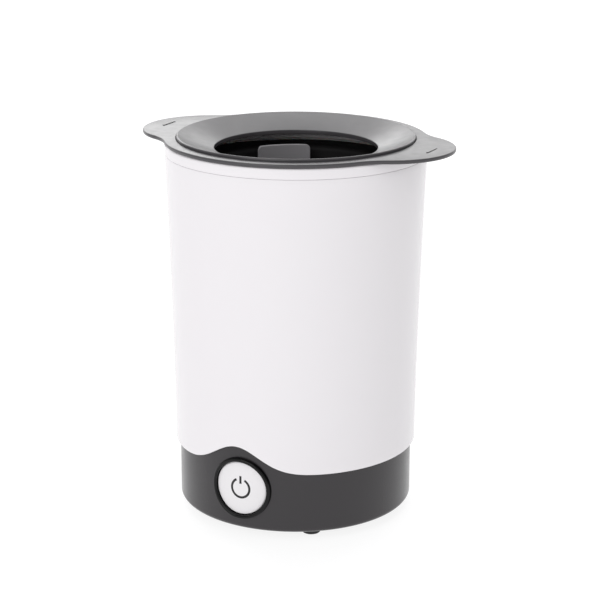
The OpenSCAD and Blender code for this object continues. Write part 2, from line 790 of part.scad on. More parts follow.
// Outline of the collar: a round flange, two ears and their hollow blends
module collar_outline(inset) {
    r0 = flange_r - inset;
    r1 = ear_r - inset;
    f = ear_blend + inset;
    d0 = r0 + f;
    d1 = r1 + f;
    fx = (d0 * d0 - d1 * d1 + ear_x * ear_x) / (2 * ear_x);
    fy = sqrt(d0 * d0 - fx * fx);
    flange_angle = atan2(fy, fx);
    ear_angle = atan2(fy, fx - ear_x);
    quarter = concat(
        arc(ear_x, 0, r1, 0, ear_angle, 12),
        tail(arc(fx, fy, f, 180 + ear_angle, 180 + flange_angle, 7)),
        tail(arc(0, 0, r0, flange_angle, 90, 22)));
    half = concat(quarter, mirrored(quarter, -1, 1));
    below = mirrored(half, 1, -1);
    polygon(concat(half, [for (i = [0:len(below) - 2]) below[i]]));
}

// Outline of the rib on an ear
module rib_outline() {
    long = ear_rib - rib_w;
    square([rib_w, long], center = true);
    for (y = [-0.5, 0.5]) translate([0, y * long]) circle(r = rib_w / 2, $fn = 32);
}

// Underside of the collar's dish
function dish_z(r) = funnel_under(r) - seat_gap - dish_t;

// Grey collar with two ribbed ears, a dish that carries the funnel and a locating skirt
module lift_collar() {
    skirt_in = skirt_r - collar_skirt_t;
    seat_r = funnel_r + 0.15;
    color(grey) difference() {
        union() {
            translate([0, 0, collar_z + ear_edge]) linear_extrude(flange_t - 2 * ear_edge)
                collar_outline(0);
            translate([0, 0, collar_z]) linear_extrude(flange_t) collar_outline(ear_edge);
            for (x = [-1, 1]) translate([x * rib_x, 0, flange_top - 0.2])
                linear_extrude(rib_h + 0.2) rib_outline();
            translate([0, 0, collar_skirt_z]) cylinder(r = skirt_r, h = flange_top - 0.5 - collar_skirt_z);
        }
        // Seat of the funnel
        rotate_extrude() polygon([
            [0, funnel_under(0) - seat_gap], [seat_r, funnel_under(seat_r) - seat_gap],
            [seat_r, flange_top + 5], [0, flange_top + 5]]);
        // Room under the dish, and the opening in its middle
        rotate_extrude() polygon([
            [0, collar_skirt_z - 1], [skirt_in, collar_skirt_z - 1], [skirt_in, dish_z(skirt_in)],
            [dish_r, dish_z(dish_r)], [dish_r, flange_top + 5], [0, flange_top + 5]]);
    }
}

// Grey funnel ring that closes the gap round the bottle
module funnel_insert() {
    color(grey) rotate_extrude($fn = 144) polygon(concat(
        [[throat_r, funnel_z(throat_r) - throat_h], [throat_r + throat_wall, funnel_z(throat_r) - throat_h],
         [throat_r + throat_wall, funnel_under(throat_r + throat_wall)],
         [funnel_r, funnel_under(funnel_r)]],
        arc(funnel_r - funnel_edge, funnel_top - funnel_edge, funnel_edge, 0, 80),
        [[throat_r + 0.3, funnel_z(throat_r + 0.3)], [throat_r, funnel_z(throat_r) - 0.3]]));
}

// Grey basket: a perforated cup with arms that guide the bottle
module bottle_basket() {
    cup_top = basket_z + basket_floor_t + cup_h;
    color(grey) difference() {
        intersection() {
            translate([0, 0, basket_z]) cylinder(r = basket_out, h = arm_top - basket_z);
            union() {
                translate([0, 0, basket_z - 1]) cylinder(r = basket_out + 1, h = cup_top - basket_z + 1);
                for (i = [0:arm_count - 1])
                    rotate([0, 0, arm_turn + i * 360 / arm_count]) arm_block(cup_top);
            }
        }
        translate([0, 0, cup_top - 1]) cylinder(r = basket_r, h = arm_top);
        translate([0, 0, basket_z + basket_floor_t]) cylinder(r = cup_in, h = cup_h + 1);
        translate([0, 0, basket_z - 1]) cylinder(r = vent_r * 2, h = 5, $fn = 48);
        round_array(cup_in - 2.5 * vent_r, [0:45:315])
            translate([0, 0, basket_z - 1]) cylinder(r = vent_r, h = 5, $fn = 32);
    }
}

// A block with rounded top corners that leaves one arm of the basket's wall
module arm_block(low) {
    half = basket_out * sin(arm_angle / 2);
    rotate([90, 0, 90]) linear_extrude(basket_out + 2) polygon(concat(
        [[-half, low - 2], [half, low - 2]],
        arc(half - arm_corner, arm_top - arm_corner, arm_corner, 0, 88, 6),
        arc(arm_corner - half, arm_top - arm_corner, arm_corner, 92, 180, 6)));
}

outer_housing();
rim_ring();
base_housing();
base_cover();
foot(1);  // foot_1
foot(2);  // foot_2
foot(3);  // foot_3
foot(4);  // foot_4
cover_screws();
housing_screws();
heating_chamber();
chamber_gasket();
plate_gasket();
heating_plate();
plate_clamp();
clamp_screws();
heating_element();
thermostat();
thermal_fuse();
temperature_sensor();
control_board();
board_screws();
relay();
transformer();
film_capacitor();
smoothing_capacitor();
terminal_block();
power_inlet();
inlet_pins();
inlet_screws();
button_bezel();
power_button();
power_symbol();
button_spring();
switch_board();
tact_switch();
indicator_led();
switch_screws();
mains_leads();
heater_leads();
cutout_leads();
sensor_lead();
switch_leads();
lift_collar();
funnel_insert();
bottle_basket();
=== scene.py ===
# Bottle warmer: the visible model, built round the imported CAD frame.
# Sizes are in millimetres until a mesh is made; the frame and every mesh are in metres.
import math

import bmesh
import bpy
import numpy as np
from mathutils import Matrix, Vector


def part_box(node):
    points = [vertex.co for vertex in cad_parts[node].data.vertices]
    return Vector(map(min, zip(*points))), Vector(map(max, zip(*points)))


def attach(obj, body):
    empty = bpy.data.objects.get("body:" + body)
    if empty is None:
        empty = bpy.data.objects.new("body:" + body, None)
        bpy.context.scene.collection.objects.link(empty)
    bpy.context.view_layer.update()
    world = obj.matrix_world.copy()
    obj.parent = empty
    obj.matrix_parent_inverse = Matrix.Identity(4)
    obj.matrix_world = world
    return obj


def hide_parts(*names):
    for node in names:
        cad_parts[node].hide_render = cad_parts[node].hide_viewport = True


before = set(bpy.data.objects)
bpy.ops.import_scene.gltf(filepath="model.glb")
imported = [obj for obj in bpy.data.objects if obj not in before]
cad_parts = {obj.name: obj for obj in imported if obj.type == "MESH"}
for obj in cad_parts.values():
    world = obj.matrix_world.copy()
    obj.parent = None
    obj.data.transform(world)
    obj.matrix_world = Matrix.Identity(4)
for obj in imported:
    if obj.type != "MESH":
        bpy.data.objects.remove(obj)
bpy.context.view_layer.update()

MM = 0.001
TURN = 2 * math.pi


def box_of(node):
    """Lowest and highest corner of a CAD node, in millimetres."""
    low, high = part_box(node)
    return [v / MM for v in low], [v / MM for v in high]


# ---- sizes taken from the frame ----
HOUSING_LOW, HOUSING_HIGH = box_of("outer_housing")
SKIRT_Z, SEAM_Z = HOUSING_LOW[2], HOUSING_HIGH[2]
RIM_LOW, RIM_HIGH = box_of("rim_ring")
RIM_Z = RIM_HIGH[2]
BASE_LOW, BASE_HIGH = box_of("base_housing")
BASE_Z, SLEEVE_TOP, BASE_R = BASE_LOW[2], BASE_HIGH[2], BASE_HIGH[0]
CHAMBER_HIGH = box_of("heating_chamber")[1]
PLATE_LOW, PLATE_HIGH = box_of("heating_plate")
GASKET_LOW, GASKET_HIGH = box_of("chamber_gasket")
COLLAR_LOW = box_of("lift_collar")[0]
FUNNEL_HIGH = box_of("funnel_insert")[1]
BASKET_LOW, BASKET_HIGH = box_of("bottle_basket")
BUTTON_HIGH = box_of("power_button")[1]
BEZEL_HIGH = box_of("button_bezel")[1]
INLET_LOW, INLET_HIGH = box_of("power_inlet")
COVER_Z = box_of("base_cover")[0][2]

# ---- sizes that the boxes don't give ----
HOUSING_WALL = 1.8
HOUSING_FLARE = 3.7
HOUSING_LOW_R = BASE_R + 0.1 + HOUSING_WALL
WAVE_RISE, WAVE_SPREAD, WAVE_TURN = 11.3, 11.7, -1.6
WAVE_HELD = 1.0            # height above the lower edge that rises with it unchanged
BASE_WALL = 2.4
LEDGE_Z, LEDGE_R, LEDGE_H = 163.0, 54.3, 2.5   # the ledge that carries the chamber
LEDGE_LOW_Z = 156.0        # where the slope under that ledge meets the wall
SLEEVE_RING_H = 2.0        # the ring inside the housing that sits on the base's sleeve
RIM_BORE = 56.4
SPIGOT_R = 58.47
BUTTON_R, BUTTON_Z, BUTTON_FACE = 12.75, 24.0, BASE_R + 0.5
BEZEL_IN, BEZEL_OUT, BEZEL_FACE = 13.0, 14.7, BASE_R + 1.9
SYMBOL_R, SYMBOL_LINE, SYMBOL_OPEN = 5.05, 1.1, 27
THROAT_R = 37.8
FUNNEL_R, FUNNEL_TAN = 55.2, math.tan(math.radians(19.3))
FLANGE_R, EAR_R, EAR_X, EAR_BLEND = 61.0, 31.0, 46.1, 26.0
RIB_X, RIB_HALF, RIB_R, RIB_H = 67.8, 5.0, 0.5, 0.3   # the low rib on each ear
SKIRT_R, SKIRT_IN = 56.1, 54.5
BASKET_OUT, BASKET_IN, CUP_IN, CUP_TOP, VENT_CIRCLE = 33.8, 32.0, 31.0, 64.3, 23.5
ARM_HALF = BASKET_OUT * math.sin(math.radians(22))
ARM_CORNER, SIDE_ROUND = 2.0, 0.35
ARM_ANGLES = [7.8, 127.8, 247.8]
CHAMBER_R, CHAMBER_OUT, CHAMBER_FLOOR_Z = 40.5, 42.5, 48.0
STOP_RING_IN, STOP_RING_OUT, STOP_RING_TOP = 34.1, 35.6, 51.0   # the ring that centres the basket
INLET_Z, INLET_HALF, INLET_R, INLET_WALL = 20.0, 4.4, 4.4, 1.4
PIN_X, PIN_R = 4.3, 1.2
COVER_R, COVER_TOP, COVER_STOP_R = 52.3, 6.3, 50.6
BOSS_LOW_Z = COVER_TOP + 0.3
FOOT_CIRCLE, FOOT_ANGLES = 44.0, [53.5, 126.5, 233.5, 306.5]
COVER_SCREW_CIRCLE, COVER_SCREW_ANGLES = 46.0, [15, 165, 195, 345]
BOSS_CIRCLE, BOSS_ANGLES = 47.8, [35, 145, 215, 325]
ROUND = 288                # sides of the large round pieces


# ---- nodes ----
def add(tree, kind, links=None, **settings):
    """Adds a node. links gives each input a value or another node's output."""
    made = tree.nodes.new(kind)
    for key, value in settings.items():
        setattr(made, key, value)
    for key, value in (links or {}).items():
        if isinstance(value, bpy.types.NodeSocket):
            tree.links.new(value, made.inputs[key])
        else:
            made.inputs[key].default_value = value
    return made


def linear(colour):
    """An sRGB hex colour as linear RGBA."""
    parts = [int(colour[i:i + 2], 16) / 255 for i in (1, 3, 5)]
    return [v / 12.92 if v <= 0.04045 else ((v + 0.055) / 1.055) ** 2.4 for v in parts] + [1]


def shade(colour, factor):
    """The same linear colour, lighter or darker."""
    return [min(1, v * factor) for v in colour[:3]] + [1]


def new_material(name):
    material = bpy.data.materials.new(name)
    material.use_nodes = True
    tree = material.node_tree
    tree.nodes.clear()
    where = add(tree, "ShaderNodeTexCoord").outputs["Object"]
    shader = add(tree, "ShaderNodeBsdfPrincipled")
    add(tree, "ShaderNodeOutputMaterial", {"Surface": shader.outputs[0]})
    return material, tree, where, shader


def per_mm(size):
    """Texture scale that gives a pattern of that size in millimetres."""
    return 1 / (size * MM)


def moulded(name, colour, rough, grain=0.35, depth=0.006, sway=6.0, sway_depth=0.0,
            mottle=0.02, ior=1.5, spread=0.05, coat=0.0, sheen=0.0, subsurface=0.0):
    """Injection-moulded plastic or rubber. grain is the tool's texture and depth its height,
    sway the slow waviness of a shrunk wall, mottle the share that the colour varies."""
    material, tree, where, shader = new_material(name)
    base = linear(colour)
    cloud = add(tree, "ShaderNodeTexNoise", {"Vector": where, "Scale": per_mm(14), "Detail": 3.0})
    tint = add(tree, "ShaderNodeMix", {"Factor": cloud.outputs["Fac"], "A": shade(base, 1 - mottle),
                                       "B": shade(base, 1 + mottle)}, data_type="RGBA")
    gloss = add(tree, "ShaderNodeTexNoise", {"Vector": where, "Scale": per_mm(5), "Detail": 2.0})
    level = add(tree, "ShaderNodeMapRange", {"Value": gloss.outputs["Fac"], "From Min": 0.3,
                                             "From Max": 0.7, "To Min": rough - spread / 2,
                                             "To Max": rough + spread / 2})
    fine = add(tree, "ShaderNodeTexNoise", {"Vector": where, "Scale": per_mm(grain), "Detail": 1.0})
    bump = add(tree, "ShaderNodeBump", {"Height": fine.outputs["Fac"], "Strength": 1.0,
                                        "Distance": depth * MM})
    if sway_depth:
        slow = add(tree, "ShaderNodeTexNoise", {"Vector": where, "Scale": per_mm(sway)})
        bump = add(tree, "ShaderNodeBump", {"Height": slow.outputs["Fac"], "Strength": 1.0,
                                            "Distance": sway_depth * MM,
                                            "Normal": bump.outputs["Normal"]})
    tree.links.new(tint.outputs["Result"], shader.inputs["Base Color"])
    tree.links.new(level.outputs["Result"], shader.inputs["Roughness"])
    tree.links.new(bump.outputs["Normal"], shader.inputs["Normal"])
    shader.inputs["IOR"].default_value = ior
    shader.inputs["Coat Weight"].default_value = coat
    shader.inputs["Coat Roughness"].default_value = 0.06
    shader.inputs["Sheen Weight"].default_value = sheen
    shader.inputs["Subsurface Weight"].default_value = subsurface
    shader.inputs["Subsurface Scale"].default_value = 0.8 * MM
    return material


def metal(name, colour, rough, line=0.25, depth=0.004, stretch=(1, 1, 1), rings=False, spread=0.12):
    """A metal surface. line is the width of its working marks, stretched along the way it was
    worked, or turned into rings where it was spun."""
    material, tree, where, shader = new_material(name)
    base = linear(colour)
    if rings:
        marks = add(tree, "ShaderNodeTexWave", {"Vector": where, "Scale": per_mm(line) / 20,
                                                "Distortion": 1.5, "Detail": 2.0, "Detail Scale": 2.0},
                    wave_type="RINGS", rings_direction="Z")
    else:
        laid = add(tree, "ShaderNodeMapping", {"Vector": where, "Scale": Vector(stretch)})
        marks = add(tree, "ShaderNodeTexNoise", {"Vector": laid.outputs[0], "Scale": per_mm(line),
                                                 "Detail": 4.0})
    tone = add(tree, "ShaderNodeMix", {"Factor": marks.outputs["Fac"], "A": shade(base, 0.88),
                                       "B": shade(base, 1.06)}, data_type="RGBA")
    level = add(tree, "ShaderNodeMapRange", {"Value": marks.outputs["Fac"], "To Min": rough - spread / 2,
                                             "To Max": rough + spread / 2})
    bump = add(tree, "ShaderNodeBump", {"Height": marks.outputs["Fac"], "Strength": 1.0,
                                        "Distance": depth * MM})
    tree.links.new(tone.outputs["Result"], shader.inputs["Base Color"])
    tree.links.new(level.outputs["Result"], shader.inputs["Roughness"])
    tree.links.new(bump.outputs["Normal"], shader.inputs["Normal"])
    shader.inputs["Metallic"].default_value = 1.0
    return material


def circuit_board(name, colour):
    """Woven glass and epoxy under green solder mask: copper tracks stand out lighter under it."""
    material, tree, where, shader = new_material(name)
    base = linear(colour)
    tracks = add(tree, "ShaderNodeTexVoronoi", {"Vector": where, "Scale": per_mm(4.2)},
                 distance="MANHATTAN")
    band = add(tree, "ShaderNodeMath", {0: tracks.outputs["Distance"], 1: 6.0}, operation="MULTIPLY")
    line = add(tree, "ShaderNodeMath", {0: band.outputs[0]}, operation="FRACT")
    step = add(tree, "ShaderNodeMath", {0: line.outputs[0], 1: 0.55}, operation="GREATER_THAN")
    tone = add(tree, "ShaderNodeMix", {"Factor": step.outputs[0], "A": base, "B": shade(base, 1.5)},
               data_type="RGBA")
    bump = add(tree, "ShaderNodeBump", {"Height": step.outputs[0], "Strength": 1.0,
                                        "Distance": 0.035 * MM})
    tree.links.new(tone.outputs["Result"], shader.inputs["Base Color"])
    tree.links.new(bump.outputs["Normal"], shader.inputs["Normal"])
    shader.inputs["Roughness"].default_value = 0.32
    shader.inputs["Coat Weight"].default_value = 0.4
    return material


def braided(name, colour, thread=0.5):
    """A lead in a woven glass sleeve: crossed threads with painted highlights on their crowns and painted
    shade between them.
    """
    material, tree, where, shader = new_material(name)
    base = linear(colour)
    one = add(tree, "ShaderNodeTexWave", {"Vector": where, "Scale": per_mm(thread) / 20},
              bands_direction="DIAGONAL")
    turned = add(tree, "ShaderNodeMapping", {"Vector": where, "Scale": Vector((-1, 1, 1))})
    two = add(tree, "ShaderNodeTexWave", {"Vector": turned.outputs[0], "Scale": per_mm(thread) / 20},
              bands_direction="DIAGONAL")
    both = add(tree, "ShaderNodeMath", {0: one.outputs["Fac"], 1: two.outputs["Fac"]},
               operation="MAXIMUM")
    # Painted highlight on the thread crowns and painted shade between the threads, both following the weave's
    # height
    tone = add(tree, "ShaderNodeMix", {"Factor": both.outputs[0], "A": shade(base, 0.7),
                                       "B": shade(base, 1.1)}, data_type="RGBA")
    bump = add(tree, "ShaderNodeBump", {"Height": both.outputs[0], "Strength": 1.0,
                                        "Distance": 0.08 * MM})
    tree.links.new(tone.outputs["Result"], shader.inputs["Base Color"])
    tree.links.new(bump.outputs["Normal"], shader.inputs["Normal"])
    shader.inputs["Roughness"].default_value = 0.7
    return material


# ABS from a polished tool: even white gloss, with the slow waviness of a thin wall
WHITE_ABS = moulded("ABS_polished_white", "#EDEAED", 0.24, grain=0.5, depth=0.001,
                    sway=24, sway_depth=0.02, mottle=0.006, spread=0.04, ior=1.5)
# ABS from a finely textured tool: charcoal with a broad soft sheen at the edges
DARK_ABS = moulded("ABS_satin_charcoal", "#2C292C", 0.22, grain=0.4, depth=0.006, mottle=0.03)
# Polypropylene from a spark-eroded tool: grey, silky, brighter at grazing angles
GREY_PP = moulded("PP_textured_grey", "#454346", 0.3, grain=0.4, depth=0.003, mottle=0.02)
# The basket's polypropylene, left a little glossier so that food wipes off
BASKET_PP = moulded("PP_moulded_grey", "#8A888B", 0.38, grain=0.5, depth=0.006, mottle=0.02)
# Polypropylene with glass fibre: deep black, with a dull gloss that shows in the wet chamber
BLACK_PP = moulded("PP_glass_filled_black", "#181718", 0.65, grain=0.6, depth=0.012, mottle=0.08,
                  ior=1.25)
# ABS under clear lacquer: mirror-like black ring that draws thin highlights
GLOSS_BLACK = moulded("ABS_lacquered_black", "#050506", 0.08, depth=0.0005, mottle=0.05, ior=1.33)
# Polyamide from a plain tool: dry black, for the inlet and the switch
BLACK_PA = moulded("PA66_moulded_black", "#151516", 0.48, grain=0.3, depth=0.01, mottle=0.06)
# Silicone-modified elastomer: matt, slightly dusty black that never shows a hard highlight
RUBBER = moulded("TPE_matt_black", "#171718", 0.72, grain=0.5, depth=0.02, mottle=0.12, sheen=0.15)
# Silicone rubber, pressed: milky grey and faintly translucent
SILICONE = moulded("Silicone_pressed_milky", "#B9B8B6", 0.5, grain=0.6, depth=0.008,
                   subsurface=0.25, ior=1.41)
# The button's ABS: the shell's white, with a satin face that hides fingerprints
BUTTON_ABS = moulded("ABS_satin_white", "#EAE8EA", 0.34, grain=0.4, depth=0.003, mottle=0.006)
# Pad-printed ink: thin flat charcoal film that stays duller than the plastic round it
INK = moulded("Ink_pad_printed_charcoal", "#171518", 0.55, grain=0.2, depth=0.004, mottle=0.05)
# 304 stainless sheet, spun: cool grey with fine rings
PLATE_STEEL = metal("Stainless_304_spun", "#B9BABD", 0.3, line=0.5, depth=0.01, rings=True)
# Low-carbon steel, pressed and zinc plated: faintly warm grey with soft blotches
SHEET_STEEL = metal("Steel_pressed_zinc_plated", "#A9A9A8", 0.38, line=1.2, depth=0.006)
# Screw steel, zinc plated and rolled: bright, with fine turning marks
SCREW_STEEL = metal("Steel_screws_zinc_plated", "#B5B6B8", 0.3, line=0.3, stretch=(1, 1, 4))
# Stainless tube, drawn: marks run along the heater's tube
TUBE_STEEL = metal("Stainless_321_drawn_tube", "#8F8B86", 0.42, line=0.6, depth=0.01)
# Brass, turned and tin plated over: pale yellow contact pins
BRASS = metal("Brass_turned_contact", "#C9AE72", 0.25, line=0.2, stretch=(1, 0.2, 1))
BOARD = circuit_board("FR4_solder_mask_green", "#1F4A2A")
# Polyester moulding of a power relay: even signal blue
RELAY_BLUE = moulded("PBT_moulded_blue", "#2A4B7C", 0.42, grain=0.4, depth=0.005, mottle=0.03)
# Polyester tape round the transformer's coil: glossy yellow with soft wrap lines
COIL_TAPE = moulded("Polyester_tape_yellow", "#C9A33A", 0.25, grain=1.5, depth=0.03, mottle=0.06)
# Epoxy-filled box of a film capacitor: flat ochre
CAP_BOX = moulded("Epoxy_cast_ochre", "#B4872F", 0.5, grain=0.6, depth=0.01, mottle=0.05)
# Shrunk vinyl sleeve over an aluminium can: dark blue and glossy
CAP_SLEEVE = moulded("PVC_shrink_sleeve_navy", "#1E2A45", 0.22, sway=3, sway_depth=0.02, mottle=0.04)
# Polyamide of the screw terminals: muted green
TERMINAL = moulded("PA6_moulded_green", "#2F6B3E", 0.45, mottle=0.04)
# Pressed phenolic of the thermostat: brown-black with resin swirls
PHENOLIC = moulded("Phenolic_pressed_brown", "#4A2F22", 0.5, grain=0.8, depth=0.01, mottle=0.25)
# Glazed steatite of the thermal fuse: clean off-white
CERAMIC = moulded("Steatite_glazed_white", "#E4E1D8", 0.2, depth=0.002, coat=0.4, mottle=0.01)
# Diffused epoxy of the indicator: milky and slightly translucent
LENS = moulded("Epoxy_diffused_lens", "#E9E4CF", 0.3, subsurface=0.4, mottle=0.01)
# Soft PVC of the mains leads and the thin signal leads
MAINS_PVC = moulded("PVC_extruded_black", "#242426", 0.4, sway=1.5, sway_depth=0.01)
SIGNAL_PVC = moulded("PVC_extruded_grey", "#69696D", 0.42, sway=1.5, sway_depth=0.01)
SENSOR_PVC = moulded("PTFE_extruded_black", "#1A1A1B", 0.35, sway=1.5, sway_depth=0.01)
HEATER_BRAID = braided("Glass_braid_red", "#8C2F2A")
CUTOUT_BRAID = braided("Glass_braid_natural", "#D2D1CA")

CAD_FINISHES = {
    "plate_gasket": SILICONE, "plate_clamp": SHEET_STEEL, "clamp_screws": SCREW_STEEL,
    "housing_screws": SCREW_STEEL, "heating_element": TUBE_STEEL, "thermostat": PHENOLIC,
    "thermal_fuse": CERAMIC, "temperature_sensor": BLACK_PA, "control_board": BOARD,
    "board_screws": SCREW_STEEL, "relay": RELAY_BLUE, "transformer": COIL_TAPE,
    "film_capacitor": CAP_BOX, "smoothing_capacitor": CAP_SLEEVE, "terminal_block": TERMINAL,
    "inlet_screws": SCREW_STEEL, "button_spring": SCREW_STEEL, "switch_board": BOARD,
    "tact_switch": BLACK_PA, "indicator_led": LENS, "switch_screws": SCREW_STEEL,
    "mains_leads": MAINS_PVC, "heater_leads": HEATER_BRAID, "cutout_leads": CUTOUT_BRAID,
    "sensor_lead": SENSOR_PVC, "switch_leads": SIGNAL_PVC,
}
for cad_node, finish in CAD_FINISHES.items():
    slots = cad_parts[cad_node].data.materials
    slots.clear()
    slots.append(finish)


# ---- meshes ----
def tidy_mesh(mesh, sharp=32):
    """Merges doubles, turns the faces outwards and smooths all but the sharp edges."""
    work = bmesh.new()
    work.from_mesh(mesh)
    bmesh.ops.remove_doubles(work, verts=work.verts, dist=2e-6)
    bmesh.ops.recalc_face_normals(work, faces=work.faces)
    for face in work.faces:
        face.smooth = True
    work.to_mesh(mesh)
    work.free()
    mesh.set_sharp_from_angle(angle=math.radians(sharp))
    return mesh


def solid(name, points, faces):
    mesh = bpy.data.meshes.new(name)
    mesh.from_pydata([tuple(p * MM) for p in points], [], faces)
    made = bpy.data.objects.new(name, tidy_mesh(mesh))
    bpy.context.scene.collection.objects.link(made)
    return made


def loft(name, rows, loop=True, caps=False):
    """Skins rows of equally many points. loop joins the last row to the first."""
    count, total = len(rows[0]), len(rows)
    faces = []
    for i in range(total if loop else total - 1):
        a, b = i * count, ((i + 1) % total) * count
        faces += [(a + j, a + (j + 1) % count, b + (j + 1) % count, b + j) for j in range(count)]
    if caps:
        faces += [tuple(range(count)), tuple((total - 1) * count + j for j in range(count))]
    return solid(name, np.concatenate(rows), faces)


def rounded(corners, steps=4):
    """A closed outline from (x, y, radius) corners, each corner turned into an arc."""
    out = []
    for i, (x, y, radius) in enumerate(corners):
        here = np.array((x, y), float)
        if radius <= 0:
            out.append(here)
            continue
        before = np.array(corners[i - 1][:2], float) - here
        after = np.array(corners[(i + 1) % len(corners)][:2], float) - here
        u, v = before / np.linalg.norm(before), after / np.linalg.norm(after)
        half = math.acos(max(-1, min(1, float(u @ v)))) / 2
        reach = min(radius / math.tan(half), 0.49 * np.linalg.norm(before),
                    0.49 * np.linalg.norm(after))
        radius = reach * math.tan(half)
        centre = here + (u + v) / np.linalg.norm(u + v) * radius / math.sin(half)
        start, end = here + u * reach - centre, here + v * reach - centre
        a = math.atan2(start[1], start[0])
        sweep = (math.atan2(end[1], end[0]) - a + math.pi) % TURN - math.pi
        out += [centre + radius * np.array((math.cos(a + sweep * k / steps),
                                            math.sin(a + sweep * k / steps)))
                for k in range(steps + 1)]
    return out


def circle_row(r, z, count=ROUND):
    a = np.arange(count) * TURN / count
    return np.stack([r * np.cos(a), r * np.sin(a), np.full(count, z)], 1)


def lathe(name, corners, count=ROUND, steps=4):
    """A closed profile of (radius, height, rounding) corners turned about the axis."""
    return loft(name, [circle_row(max(r, 0), z, count) for r, z in rounded(corners, steps)])


def moved(made, x=0, y=0, z=0, turn=0.0, tip=0.0):
    """Places a mesh: tip about X first, then turn about Z, both in degrees, then a shift."""
    made.data.transform(Matrix.Translation((x * MM, y * MM, z * MM))
                        @ Matrix.Rotation(math.radians(turn), 4, "Z")
                        @ Matrix.Rotation(math.radians(tip), 4, "X"))
    return made


def drop(made):
    bpy.data.objects.remove(made)


def joined(name, parts):
    """One object that holds the parts' meshes."""
    work = bmesh.new()
    for part in parts:
        work.from_mesh(part.data)
    mesh = bpy.data.meshes.new(name)
    work.to_mesh(mesh)
    work.free()
    for part in parts:
        drop(part)
    made = bpy.data.objects.new(name, tidy_mesh(mesh))
    bpy.context.scene.collection.objects.link(made)
    return made


def flattened(made):
    """Replaces an object's mesh by what its modifiers make of it."""
    bpy.context.view_layer.update()
    shown = made.evaluated_get(bpy.context.evaluated_depsgraph_get())
    mesh = bpy.data.meshes.new_from_object(shown)
    made.modifiers.clear()
    made.data = tidy_mesh(mesh)
    return made


def cut(made, cutters):
    """Takes the cutters out of a mesh."""
    for cutter in cutters:
        step = made.modifiers.new("cut", "BOOLEAN")
        step.operation, step.solver, step.object = "DIFFERENCE", "EXACT", cutter
    flattened(made)
    for cutter in cutters:
        drop(cutter)
    return made


def rod(name, r, low, high, count=48):
    return loft(name, [circle_row(r, low, count), circle_row(r, high, count)], loop=False, caps=True)


def piece(made, body, nodes, finish):
    """Gives a finished mesh its material and material slot, puts it under its body and hides the CAD nodes it
    replaces.
    """
    made.data.materials.clear()
    made.data.materials.append(finish)
    for face in made.data.polygons:
        face.material_index = 0
    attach(made, body)
    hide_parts(*nodes)
    return made


# ---- geometry node trees ----
def start_tree(name, sockets):
    """A geometry tree with a Geometry input and named inputs, and what they give."""
    tree = bpy.data.node_groups.new(name, "GeometryNodeTree")
    tree.interface.new_socket("Geometry", in_out="INPUT", socket_type="NodeSocketGeometry")
    for label, kind in sockets.items():
        tree.interface.new_socket(label, in_out="INPUT", socket_type=kind)
    tree.interface.new_socket("Geometry", in_out="OUTPUT", socket_type="NodeSocketGeometry")
    return tree, add(tree, "NodeGroupInput").outputs


def end_tree(tree, shape, finish):
    """Ends a tree with real geometry and its material."""
    real = add(tree, "GeometryNodeRealizeInstances", {"Geometry": shape})
    dressed = add(tree, "GeometryNodeSetMaterial", {"Geometry": real.outputs[0], "Material": finish})
    add(tree, "NodeGroupOutput", {"Geometry": dressed.outputs[0]})


def through_tree(made, tree, values):
    """Runs a tree over an object, with its inputs set by their identifiers."""
    step = made.modifiers.new(tree.name, "NODES")
    step.node_group = tree
    for item in tree.interface.items_tree:
        if item.in_out == "INPUT" and item.name in values:
            step[item.identifier] = values[item.name]
    return flattened(made)


def copies_tree():
    """Copies of one piece at points round the axis, each turned to face outwards."""
    tree, given = start_tree("Copies_round_axis", {"Piece": "NodeSocketObject",
                                                   "Material": "NodeSocketMaterial"})
    place = add(tree, "ShaderNodeSeparateXYZ", {"Vector": add(tree, "GeometryNodeInputPosition").outputs[0]})
    angle = add(tree, "ShaderNodeMath", {0: place.outputs["Y"], 1: place.outputs["X"]}, operation="ARCTAN2")
    turn = add(tree, "ShaderNodeCombineXYZ", {"Z": angle.outputs[0]})
    source = add(tree, "GeometryNodeObjectInfo", {"Object": given["Piece"]})
    copies = add(tree, "GeometryNodeInstanceOnPoints", {
        "Points": given["Geometry"], "Instance": source.outputs["Geometry"], "Rotation": turn.outputs[0]})
    end_tree(tree, copies.outputs[0], given["Material"])
    return tree


